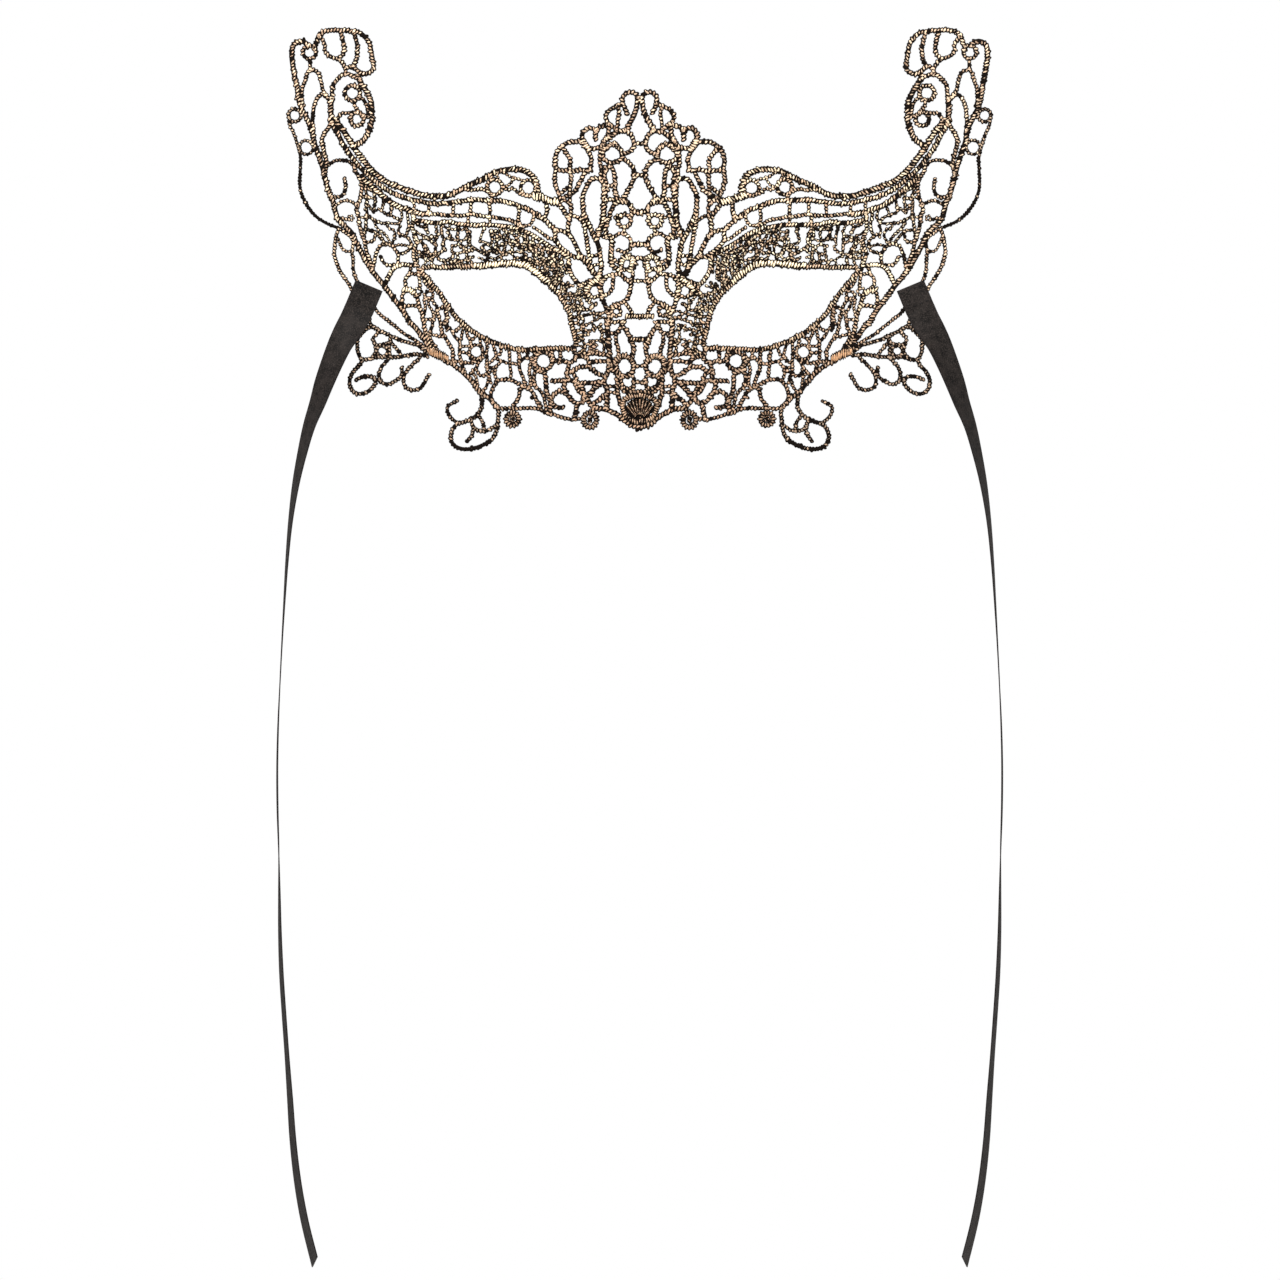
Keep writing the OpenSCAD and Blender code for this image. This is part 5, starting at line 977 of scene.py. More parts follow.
@dataclass
class NoseLace(LaceField):
    """Scrolls beside the nose."""

    node: str = "nose_lace"
    wrap: Wrap = Wrap(bare=0.04, swell=1.7)
    cords: tuple[Route, ...] = (
        (1.3, (36.6, -14.6, 35.7, -16.6, 35.2, -18.4, 33.7, -18.7, 32.4, -19.4, 31.9, -21, 31.9, -23.5,
          31.6, -25.8, 30.7, -27.5, 30.4, -29.4, 30.5, -33.2)),
        (1.2, (35.3, -18.2, 36, -20.4, 35.9, -22.6, 35.2, -24.4)),
        (1.3, (30, -12.2, 29.3, -14.5, 27.9, -15.4, 26.1, -15.2, 24.3, -15.8, 22.6, -15.2, 21.6, -13.6,
          22.3, -11.4)),
        (1.1, (26.9, -11.4, 27, -13, 27.1, -15.6)),
        (1.3, (24, -15.6, 24.2, -17.4, 24.8, -19.4, 24.3, -21.8)),
        (1.3, (29.9, -22, 27.9, -21.9, 26.3, -21.9, 24.7, -22, 23.4, -21.6, 22.1, -22.1, 20.9, -22.6, 20.1,
          -23.6, 19.3, -24.8, 18.8, -26.3, 18.8, -27.8, 19.5, -29.2)),
        (1.3, (19, -28.6, 20.6, -29.7, 22.2, -29.3, 23.3, -28.3, 24.3, -27.1, 25.3, -25.6, 25.7, -23.9,
          25.5, -21.8)),
        (1.3, (25, -26, 27.1, -25.5, 28.6, -26.1, 29.8, -27.3, 30, -28.9, 29.4, -30.1, 27.9, -30.9, 26,
          -31.1)),
        (1.2, (22.3, -22, 21.5, -24, 20.5, -25.8, 18.9, -26.6)),
        (1.4, (20.9, -29.4, 21.5, -31.1, 21.8, -32.9, 22.3, -35)),
        (1.3, (21.9, -13.9, 19.9, -13.6, 18, -14.2, 17.2, -15.7, 17.2, -17.4, 15.6, -18.4, 14, -19.7, 11.6,
          -20.3)),
        (1.3, (24.7, -19.2, 22.6, -18.6, 20.9, -17.3, 19.4, -17.2, 17, -17)),
        (1.2, (22.8, -18.8, 21.9, -20.6, 21.2, -22.6)),
        (1.3, (21, -22.8, 18.9, -22.7, 16.7, -22.7, 14.9, -22.4, 12.8, -22.2)),
        (1.5, (13.3, -22.6, 15.2, -24.3, 16.5, -25.8, 17.7, -27.6, 18.9, -28.4)),
        (1.3, (10.8, -25.6, 12.9, -27.6, 14.7, -28.9, 16.4, -30.4)),
        (1.4, (18.8, -27.3, 17.4, -28.9, 15.4, -30.9)),
        (1.2, (17.2, -15.8, 15, -15.4, 12.8, -15.2, 10.8, -15.3)),
        (1.2, (17, -12.8, 15.2, -12.6, 13.2, -13, 11, -13)),
        (1.2, (18, -14, 16.6, -11, 14.8, -9.6)),
    )
    rings: tuple[Ring, ...] = (
        (32.7, -15.2, 3, 1.3),
    )


@dataclass
class ChinLace(LaceField):
    """Centre of the lower edge, round the medallion."""

    node: str = "chin_lace"
    central: bool = True
    wrap: Wrap = Wrap(bare=0.05, swell=1.46)
    tan: tuple[Route, ...] = ((2.0, (8.4, -15.6, 7.2, -13.9, 5.1, -13.3, 3.4, -14.4, 2.3, -15.9)),)
    cords: tuple[Route, ...] = (
        (1.7, (15.8, -31.4, 13.7, -31.3, 11.4, -31.7, 9.4, -32.5, 7.6, -33.5, 5.8, -34.8, 4.2, -36.1, 2.3,
          -37.1, -0.6, -37.9)),
        (1.7, (11.2, -1.6, 11, -4, 10.7, -6.1, 10.6, -8.6, 10.4, -11.1, 10.2, -13.4, 10.4, -15.7, 10.5,
          -17.7, 11.1, -19.7, 12, -21.3, 11.9, -23.2, 11, -24.8, 11.1, -26.8, 11.1, -28.9, 11.1, -31.4)),
        (1.6, (6.2, -2.9, 4.5, -5, 3.3, -7.1, 2.5, -9.1, 2.1, -11.1, 2.3, -12.9, 3.1, -14.4)),
        (1.3, (10.6, -5.4, 8.6, -5.9, 7.2, -5, 6.2, -3)),
        (1.3, (8.1, -6, 7.9, -9.1, 7.3, -10.6, 7.1, -12.6, 7.4, -15.2)),
        (1.7, (10.5, -16.9, 9.2, -16.2, 8, -15.2)),
        (1.6, (8, -19, 9.4, -18.2, 10.6, -17.4)),
        (1.6, (7.4, -20.4, 7.8, -21.6, 7.4, -22.8, 7.8, -24.3, 7.6, -26, 7, -28, 6.6, -30)),
        (1.1, (11.2, -24, 9.4, -23.8, 7.6, -24)),
        (1, (11.1, -25.9, 9.4, -25.8, 7.4, -26)),
        (1.3, (5.9, -19.9, 6.4, -21.6, 6, -23.2, 4.5, -24.6, 2.6, -24.2, 1.8, -22.6, 2.2, -20.6, 3.4, -20)),
        (1.2, (6.9, -23.6, 5, -25.8, 2.8, -25.8, -0.6, -25.6)),
        (1.2, (2.2, -22.4, -0.6, -22.4)),
        (1.2, (2.2, -24.8, 1.4, -26.6)),
        (1.7, (4.9, -13.7, 6.5, -14.1, 7.8, -15.4, 8.2, -17.1, 7.7, -18.7, 6.4, -20, 4.7, -20.3, 3, -19.4,
          2.1, -17.6, 2.1, -15.7, 3.1, -14.3), 1),
    )


@dataclass
class CentreColumn(LaceField):
    """Column of leaves and curls up the nose bridge, with its thick satin bridge bar."""

    node: str = "centre_column"
    slot: Slot = Slot.GOLD
    central: bool = True
    wrap: Wrap = Wrap(bare=0.04, swell=1.26)
    cords: tuple[Route, ...] = (
        (1.7, (13, 6.6, 12.4, 5.4, 11.7, 3.4, 11, 1.8, 10.4, 0.1, 10.6, -2.6)),
        (1.7, (3.1, 12.6, 3.1, 9.9, 3.4, 8, 4.1, 6.4, 5.3, 5.1, 6.7, 4.4, 8.1, 4.1, 9.6, 3.1, 11.2, 1.8)),
        (1.5, (2.3, 0.2, 3, 1.8, 4, 3.4, 5.2, 5)),
        (1.6, (10.6, -1.8, 8.6, -2, 7.1, -1.8, 5.2, -2.2)),
        (1.6, (5.9, -1.8, 6, -4)),
        (1.4, (8.6, 0.4, 10.6, -0.6)),
        (1.6, (13, 11.6, 12.2, 12.6, 11.3, 13.6, 10.3, 14, 8.8, 14, 7.4, 14.5, 6.2, 13.9, 5.2, 13, 4.2,
          12.2, 2.8, 11.8)),
        (1.5, (9, 14.4, 9, 11.8, 9.1, 10.4, 9.6, 9, 10.8, 7.6, 12.4, 6.6)),
        (2, (10.6, 27.4, 9.6, 25.8, 9.5, 23.8, 9.8, 21.9, 9.9, 20, 9.7, 18.3, 8.9, 16.9, 7.6, 16.1, 6.2,
          15.4)),
        (1.3, (7, 14.4, 6.3, 15.8, 6.6, 17.3, 7.6, 18.4, 9.6, 19.6)),
        (2.1, (6.5, 17.6, 6.1, 19.2, 5.2, 20.4, 4, 20.6, 2.7, 20, 1.8, 18.8, 1.9, 17.2, 2.8, 16.1)),
        (1.7, (2.2, 16.4, 4.4, 15.9, 6.4, 16.1)),
        (1.5, (2.9, 16.2, 2.3, 14.2, 2.8, 12)),
        (1.4, (2.2, 19.7, -0.6, 19.7)),
        (1.4, (2.8, 12, -0.6, 12.1)),
        (1.8, (3.2, -7.9, -0.6, -7.9)),
        (1.1, (2.2, -16.9, -0.6, -16.9)),
        (1.5, (10.2, 26.6, 8.6, 27.1, 7.3, 28, 5.7, 28.3, 4.2, 27.4, 3.1, 26, 2.9, 24.3, 3.3, 22.9, 4.4, 22,
          5.7, 21.8, 7.3, 22.6)),
        (1.9, (3, 24.4, -0.6, 24.4)),
        (1.4, (5, 30.4, 5.2, 29.2, 5.6, 27.8)),
        (1.3, (6.6, 34.4, 7.6, 34.3, 8.4, 33.5)),
        (1.8, (11.3, 27.2, 11.6, 29.7, 11.3, 31.1, 10.8, 32.6, 10.2, 34, 10, 35.4, 9.4, 36.6, 8.9, 37.6, 8,
          38.6, 6.5, 38.8, 5, 38.8, 3.8, 38.4, 2.7, 37.1, 2.1, 35.8, -0.6, 34.9)),
        (1.7, (12.4, 39.5, 9.1, 39.7, 7.4, 39.7, 5.8, 39.7, 4.4, 39.3)),
        (1.5, (3, 36.8, 2.8, 34.6, 3.2, 33.4)),
    )
    rings: tuple[Ring, ...] = (
        (5.2, 32.4, 2.2, 1.7),
        (8, 1.6, 1.6, 1.5),
    )
    satin: tuple[Route, ...] = ((1.9, (6.3, 18, 5.4, 19.6, 3.7, 20.1, 2.6, 18.9, 2.8, 16.9, 3.4, 15.4)),)
    tan: tuple[Route, ...] = ((1.9, (4.4, 0, 0, 0)), (1.8, (2.9, -7.9, 0, -7.9)))


@dataclass
class ColumnTop(LaceField):
    """Drops and loops at the top of the column."""

    node: str = "column_top"
    central: bool = True
    wrap: Wrap = Wrap(bare=0.04, swell=1.38)
    cords: tuple[Route, ...] = (
        (1.6, (9.6, 51, 8.9, 49.4, 8.6, 47.9, 8.4, 46.1, 8.4, 44.3, 8.3, 42.5, 7.9, 39.9)),
        (1.6, (6, 53.6, 4.6, 52.8, 3.3, 51.8, 2.3, 50.4, 1.8, 48.9, 1.7, 47.3, 2.5, 45.6, 3.3, 44.1, 4.2,
          42.6, 4.9, 41.2, 5.8, 39.9)),
        (1.3, (2.2, 48, -0.6, 48)),
        (1.4, (2, 58.7, -0.6, 58.7)),
        (1.8, (10.4, 51, 11.4, 49.9, 12, 48.6, 12, 47.1, 11.5, 45.3, 11.3, 43.2)),
        (1.4, (13.3, 57, 13.5, 54.4, 13.6, 52.7, 13.2, 51.1, 13, 49.6, 13.1, 47.9, 13, 45.8)),
        (1, (13.5, 53.2, 11.4, 53)),
        (1, (13.3, 51, 10.4, 50.9)),
        (1, (13, 49.4, 11.5, 49.2)),
        (1.4, (12, 44.3, 9.8, 44.3, 8.2, 44.4)),
        (1.6, (4.8, 63.2, 3.2, 62, 2.3, 60.3, 1.9, 58.7, 2.3, 57.1, 3.3, 56, 4.6, 55.4, 6.2, 55.2)),
        (1.4, (6.1, 54.6, 6.7, 56.7, 7.6, 58.2, 8.9, 58.8, 10.4, 58.4, 12, 57.4)),
        (1.6, (11.9, 56.5, 12.7, 55.3, 12.5, 53.9, 11.7, 53, 10.4, 52.4, 8.6, 52.2, 7.1, 52.8, 6.1, 53.7,
          5.9, 55.2, 6.9, 57.2, 8.9, 58.4, 10.6, 57.8), 1),
    )


@dataclass
class CrownCrest(LaceField):
    """Pair of hooks that tops the crown."""

    node: str = "crown_crest"
    central: bool = True
    wrap: Wrap = Wrap(bare=0.04, swell=1.38)
    cords: tuple[Route, ...] = (
        (1.6, (0, 73.4, 0.7, 74.6, 1.4, 75.5, 2.4, 76.1, 3.4, 76.2, 4.6, 75.8, 5.5, 75, 5.9, 73.9, 5.9,
          72.7, 5.3, 71.4, 4.8, 70.1, 4.3, 68.9)),
        (1.8, (0.7, 74.1, 0.9, 72.2, 1.2, 70.4, 1.8, 68.6, 2.5, 67.2, 3.3, 65.8, 4.1, 64.4, 4.8, 62.8)),
        (1.5, (5.8, 72.3, 7.4, 71.7, 8.6, 71, 9.9, 70.4, 10.9, 69.4, 11.6, 68.1, 11.4, 66.8, 10.6, 65.6,
          9.3, 64.6, 7.6, 63.4)),
        (1.3, (7.9, 71.6, 7.1, 70.1, 7.1, 68.4, 7.4, 66.6, 7.7, 63.6)),
        (1.8, (12.2, 59.3, 10.7, 60.5, 9.4, 61.4, 8.3, 62.4, 6.9, 62.9, 5.6, 63, 4.2, 63)),
    )


@dataclass
class CrownScrolls(LaceField):
    """Scallops on the crown's shoulders."""

    node: str = "crown_scrolls"
    wrap: Wrap = Wrap(bare=0.05, swell=1.42)
    cords: tuple[Route, ...] = (
        (1.6, (11.4, 57.2, 12.3, 58.6)),
        (1.6, (10.2, 65.2, 11.7, 64.9, 13.2, 64.5, 14.2, 63.8, 15.2, 62.8)),
        (1.6, (14.7, 62.9, 15.7, 63.7, 16.8, 64, 18.2, 63.6, 19.2, 62.7, 19.6, 61.5, 19.5, 60.1, 18.9, 58.7,
          18, 57.5)),
        (1.6, (18.6, 57.9, 16.8, 56.9, 15.5, 57, 14, 57.3, 12.7, 58.2, 11.7, 59.7, 11, 61.2, 10.6, 62.6,
          10.6, 65)),
        (1.6, (15, 63.4, 15, 61.4, 15, 60)),
        (1.6, (19.2, 59.4, 21, 59.4, 22.6, 59.4, 23.9, 59.2, 25.4, 58.5, 26.9, 57.4, 27.9, 56, 28.6, 54.4,
          28.8, 52.7, 28.6, 51.1, 27.7, 49.9, 26, 49.5, 24.3, 49.6, 22.8, 49.3, 21.8, 49.5, 20.3, 49.9, 18.4,
          49.5, 16.6, 49.8)),
        (1.4, (26.4, 57.6, 24.9, 55.2, 23.8, 53.7, 23.5, 52.2, 23.8, 50.4, 23.6, 49.2, 23.4, 47.6, 23.4,
          45.6, 23.6, 43.8, 23.8, 41.8)),
        (1.5, (17.9, 57.2, 16.9, 54.9, 16.4, 53.4, 16.6, 51.7, 16.8, 49.6)),
        (1.5, (18.5, 49.6, 19.3, 47.6, 20, 46.1, 20.9, 44.6, 21.5, 43, 22.7, 41.9, 24.5, 41.1, 25.9, 40.2)),
        (1.5, (28.4, 50.5, 28.9, 47.6, 28.8, 45.6, 28.4, 43.8, 27.8, 42.4, 27.2, 40.8, 26.6, 39)),
        (1.3, (24.6, 43.8, 25.9, 42.4, 27.6, 41.6)),
        (1.3, (25.9, 40.4, 25, 39, 23.6, 38.1, 23.3, 36.4, 23.6, 33.2)),
        (1.3, (23.6, 41.9, 23.7, 40.2, 23.8, 38.2)),
    )
    satin: tuple[Route, ...] = ((2.4, (19.3, 59.6, 18.4, 57.9, 17.2, 56.6)),)


@dataclass
class ForeheadLeaves(LaceField):
    """Tall leaves between the column and the brow."""

    node: str = "forehead_leaves"
    slot: Slot = Slot.GOLD
    wrap: Wrap = Wrap(bare=0.05, swell=1.36)
    satin: tuple[Route, ...] = ((2.1, (18.3, 8.8, 16.9, 10.7, 14.1, 12.5)),)
    cords: tuple[Route, ...] = (
        (1.7, (12, 43.6, 12.6, 45.6, 13.8, 46.7, 15.2, 46.9, 16.6, 46.3, 17.5, 45, 18.3, 43.5, 19.1, 41.9,
          19.4, 40, 19.4, 38.3, 19.3, 36.6, 19, 35.1, 18.3, 33.5, 17.6, 31.8, 17, 30.4, 16.3, 28.7, 15.3,
          26.7, 14.4, 25, 13.9, 23.4, 13.6, 21.7, 13.4, 20, 13.2, 18.6, 13, 17.1, 13.4, 15.2, 14, 13.4)),
        (2, (11.8, 44.2, 11.9, 42.4, 11.9, 41, 12, 39.5, 12.2, 37.8, 12.3, 36.4, 12.2, 35, 12.4, 33.3, 12.8,
          31.6, 13.3, 30.2, 13.8, 28.4, 14.8, 26.4)),
        (1.4, (11.2, 26.6, 12.6, 27.2, 13.9, 28)),
        (1.3, (12.6, 33, 11.4, 32.4, 10.7, 32.6)),
        (1.5, (19.3, 34.4, 19.3, 32, 18.6, 30.4, 18.5, 28.7, 18.1, 26.9, 17.9, 25, 17.6, 23.4, 17.4, 21.9,
          17.1, 20.3, 16.6, 18.4)),
        (1.2, (17.4, 20.5, 15.8, 20.5, 13.4, 20.7)),
        (1.2, (16.4, 17, 14.8, 17.6, 13.1, 17.5)),
        (1.3, (23.4, 34.3, 21.7, 33.9, 20.5, 33, 19.1, 32.3)),
        (1.6, (28, 38.7, 26.7, 37.3, 25.7, 35.7, 24.8, 34.3, 24.1, 33, 24.2, 31.4, 24.4, 29.7, 24, 28.1, 23,
          26.6, 22.2, 25, 21.4, 23.5, 20.8, 21.9, 20.3, 20.4)),
        (1.6, (31.6, 38.6, 31.6, 37.1, 31.5, 35.4, 32.3, 33.2, 31.2, 31.7, 29.9, 30.5, 28.8, 29.2, 28.7,
          27.4, 28.8, 26, 27.8, 24.6, 26.4, 23, 24.8, 21.7, 23.2, 20.6, 21.8, 20.2, 19.8, 20.2)),
        (1.5, (29, 29.4, 27.6, 29.3, 26.2, 29.1, 24.9, 28.3, 23.7, 27.2)),
        (2.1, (20.7, 20.7, 19.1, 19.3, 17.7, 18, 16.7, 16.8, 16, 15.2, 14.4, 13.6)),
        (2, (19.9, 10.6, 17.8, 11.3, 16, 12.1, 14.3, 13.1, 13.4, 13.9)),
        (1.8, (18.4, 11, 18, 9.2, 17.3, 7)),
        (2, (13.4, 13.6, 13.2, 11.8, 13.4, 9.9, 13.1, 8.4, 12.7, 7.2, 12.9, 6)),
    )
    rings: tuple[Ring, ...] = (
        (15.3, 8.6, 2.2, 1.3),
    )


@dataclass
class CheekFan(LaceField):
    """Open fan of curls outside the cheek."""

    node: str = "cheek_fan"
    slot: Slot = Slot.DARK
    wrap: Wrap = Wrap(pitch=1.1, bare=0.12, swell=1.24, dark_under=-27.5)
    cords: tuple[Route, ...] = (
        (1.5, (91.9, -0.9, 91.6, -2.6, 90, -3.8, 88.3, -5, 86.1, -5.9, 83.8, -7.1, 81.6, -8, 79.6, -8.6,
          77.4, -9.3, 75.4, -9.8, 73.8, -11, 72, -12.4)),
        (1.5, (91, -3.6, 92.4, -3.9, 93.6, -5, 95, -6.4, 96, -8, 96, -10, 95.9, -11.7, 95.3, -13.4, 94.2,
          -14.8, 91.6, -14.4, 89.4, -13.8, 87.2, -13.9, 85, -13.9, 82.7, -13.8, 80.8, -13.6, 78.8, -13.3,
          76.8, -12.9, 74.9, -13, 72.2, -13.4)),
        (1.3, (88.6, -4.6, 89.4, -6.2, 90.4, -7, 90.6, -8.4, 89.9, -9.6, 88.3, -9.7, 86.6, -9.4, 85.1, -8.8,
          84.5, -6.9)),
        (1.3, (84.6, -8.7, 83, -10.6, 81.6, -12.2, 80.8, -13.8)),
        (1.2, (85.3, -9, 85, -11.1, 84.8, -13.9)),
        (1.2, (90.1, -9.4, 89.7, -11.7, 90.4, -13.2, 91.4, -14.6)),
        (1.5, (94.4, -14.4, 95, -16.4, 96.4, -17.8, 97.6, -19.2, 98.4, -20.9, 98.6, -22.6, 98.2, -24.5,
          96.9, -25.9, 95, -26.4, 92.9, -25.9, 91.3, -24.7, 90.1, -23.3, 89.6, -21.9, 90.5, -20.8, 91.9,
          -20.4, 93.4, -20.4, 95, -20.9, 96.4, -21.5)),
        (1.4, (84.6, -13.6, 86.1, -15.4, 87.5, -16.8, 88.3, -18.4, 88.6, -20.1, 88.3, -21.7, 87.2, -22.8,
          85.5, -23.1, 83.8, -22.4, 82.2, -21.4, 81, -20.3, 80.8, -18.7, 80.8, -17.4)),
        (1.4, (74.2, -13.2, 75.2, -14.6, 76.7, -15.8, 78, -17.3, 79.3, -18.7, 80.1, -20.3, 80.3, -22, 79.8,
          -23.8, 78.5, -24.8, 76.8, -25.1, 74.8, -24.6, 73.5, -23.2, 72.6, -21.5, 71.6, -19.8)),
        (1.4, (89.9, -21.4, 88.4, -21.6)),
    )
    rings: tuple[Ring, ...] = (
        (87.5, -11.8, 1.8, 1.2),
    )


@dataclass
class LowerScroll(LaceField):
    """Round scroll that hangs from the cheek's edge."""

    node: str = "lower_scroll"
    slot: Slot = Slot.DARK
    wrap: Wrap = Wrap(pitch=1.1, bare=0.15, swell=1.28, dark_under=-42)
    cords: tuple[Route, ...] = (
        (1.5, (48.4, -30.2, 48, -32.5, 48.1, -34.7, 48.4, -36.8, 48.7, -38.7, 49.3, -40.6, 50.5, -42.1,
          52.2, -43.2, 54.3, -44.2, 56.5, -44.9, 59.1, -45.2, 61.4, -44.8, 63.2, -43.7, 64.2, -41.9, 64.1,
          -39.8, 63.4, -38.1, 62.3, -36.8, 60.8, -36.2, 59.1, -35.7, 57.5, -35.1, 56, -34.1, 54.6, -32.8,
          53.7, -30.9, 53.6, -29.1, 54, -26.4)),
        (1.3, (61.9, -36.2, 63.4, -35.2, 64.7, -33.7, 65.4, -32.2, 65.3, -30.8, 64.3, -29.9, 62, -28.8)),
        (1.4, (57.7, -34.7, 56.9, -36.8, 56.5, -38.7, 57, -40.3, 57.8, -41.5, 58.6, -42.5)),
        (1.3, (56.6, -37.2, 55.9, -38.3, 54.5, -38.9, 52.7, -39, 51.1, -38.6, 49.8, -37.6, 48.2, -37)),
        (1.3, (55, -33.6, 53.6, -35.5, 53, -37.1, 52.9, -39.2)),
    )


# ------------------------------------------------------------------------------------------- nets


def chance(i: int, j: int, k: int) -> float:
    """Returns the net's own even spread of numbers from 0 to 1."""
    value = math.sin(math.radians(i * 127.1 + j * 311.7 + k * 74.7)) * 4375.85
    return value - math.floor(value)


def between(p: np.ndarray, t: float) -> np.ndarray:
    """Returns the point at share t of an even list of points."""
    x = t * (len(p) - 1)
    i = min(int(x), len(p) - 2)
    return p[i] + (p[i + 1] - p[i]) * (x - i)


@dataclass
class NetBand(LaceField):
    """Stitched net between two edges, with wandering knots and some links left out.

    upper and lower are the edges, cells is how many it has along and across, and key picks its pattern.
    jitter is how far a knot wanders from an even grid, in cells, and wobble how far a strand wanders between
    two knots, in millimetres. missing is the share of links left out and crossed the share of cells with a
    diagonal. edge_wrap is how the drawn edges' thread is laid.
    """

    slot: Slot = Slot.NET
    wrap: Wrap = NET
    width: float = 1.02
    jitter: float = 0.46
    wobble: float = 0.4
    upper: tuple[float, ...] = ()
    lower: tuple[float, ...] = ()
    cells: tuple[int, int] = (1, 1)
    key: int = 0
    missing: float = 0.3
    crossed: float = 0.28
    edge_wrap: Wrap = Wrap(pitch=1.05, bare=0.08)

    def knot(self, a: np.ndarray, b: np.ndarray, i: int, j: int) -> np.ndarray:
        """Returns the place of one knot."""
        n, m = self.cells
        free = self.jitter if 0 < j < m else 0
        x = (i + free * (2 * chance(i, j, self.key) - 1)) / n
        y = (j + free * (2 * chance(j, i, self.key + 5) - 1)) / m
        t = min(max(x, 0), 1)
        return between(a, t) * (1 - y) + between(b, t) * y

    def lay(self, thread: ThreadMesh, side: Side) -> None:
        """Lays the drawn edges, then the wandering rows and their cross links."""
        for cord in self.cords:
            thread.cord(smooth(points(cord[1], side)), cord[0], self.edge_wrap)
        a, b = points(self.upper, side), points(self.lower, side)
        n, m = self.cells
        for i, j in itertools.product(range(n + 1), range(m + 1)):
            draw = [chance(i + 3 * k, j + 7 * k, self.key + 11 * k) for k in (1, 2, 3)]
            here = self.knot(a, b, i, j)
            if i < n and 0 < j < m and draw[0] > self.missing:
                self.strand(thread, here, self.knot(a, b, i + 1, j))
            if j < m and draw[1] > self.missing:
                self.strand(thread, here, self.knot(a, b, i, j + 1))
            if i < n and j < m and draw[2] < self.crossed:
                self.strand(thread, here, self.knot(a, b, i + 1, j + 1))

    def strand(self, thread: ThreadMesh, start: np.ndarray, end: np.ndarray) -> None:
        """Lays one strand that wanders between two knots."""
        line = np.array([start, (start + end) / 2 + thread.rng.normal(0, self.wobble, 2), end])
        thread.cord(smooth(line, steps=5), self.width * thread.rng.uniform(0.85, 1.3), self.wrap)


BROW_NET = NetBand(
    node="brow_net",
    cords=(
        (1.9, (76.8, 35.2, 76.9, 33.4, 75.6, 32.6, 73, 32.2, 71, 31.8, 68.5, 31.7, 66, 32.1, 64.4, 32.1,
          62.5, 31.6, 60.7, 31.2, 58.5, 31, 56.4, 31.1, 54.5, 31, 52.7, 31.1, 50.5, 31, 48.4, 30.9, 46.3,
          30.7, 44.7, 30.4, 42.5, 30.1, 40.9, 29.6, 39.3, 28.9, 37.7, 28.2, 36.4, 27.5, 35.1, 26.7, 33.7,
          25.7, 32.4, 25, 30.9, 24.1, 29.4, 23.2, 27.8, 22.4, 26.6, 21.7, 25.1, 20.6, 24.1, 19.3, 24.1, 17.6,
          23.9, 16.1, 23.3, 14.5, 22.5, 13, 21.3, 11.6, 19.7, 10.1)),
        (1.6, (77, 33.8, 77.2, 31.4, 77.1, 29.6, 76.4, 27.8, 75.6, 25.9, 76.2, 23.8, 77, 21.6, 76.6, 19.4,
          75.8, 17.2)),
    ),
    upper=(
        76.4, 33, 71, 31.6, 64, 31.8, 58, 30.8, 50.5, 30.8, 44.7, 30.2, 39.3, 28.7, 35.1, 26.5, 30.9, 24,
        27.8, 22.2, 25.1, 20.4,
    ),
    lower=(
        75.6, 17.2, 70, 17, 64, 16.9, 58, 17.2, 51, 17.5, 45, 18.1, 39.8, 17.4, 36.4, 15.8, 33.6, 13.4,
        31.4, 11.4, 29.4, 9.6,
    ),
    cells=(25, 6),
    key=2,
)

INNER_NET = NetBand(
    node="inner_net",
    upper=(
        24.2, 18.6, 23.4, 14.5, 20.6, 10.6, 18.6, 8.4, 16.8, 5.4, 14, 3.6, 11.6, 1.4, 10.6, -2, 10.8, -5.4,
        10.8, -9, 10.5, -13.4,
    ),
    lower=(
        29.6, 9.8, 28.6, 8.5, 27.6, 7.4, 26.4, 5.6, 25.4, 3.8, 24.6, 2.2, 23.8, 0.4, 23.2, -2, 22.9, -4.6,
        22.2, -7.4, 20.4, -12.4,
    ),
    cells=(15, 5),
    key=9,
)


# ------------------------------------------------------------------------------------------- blocks and knots


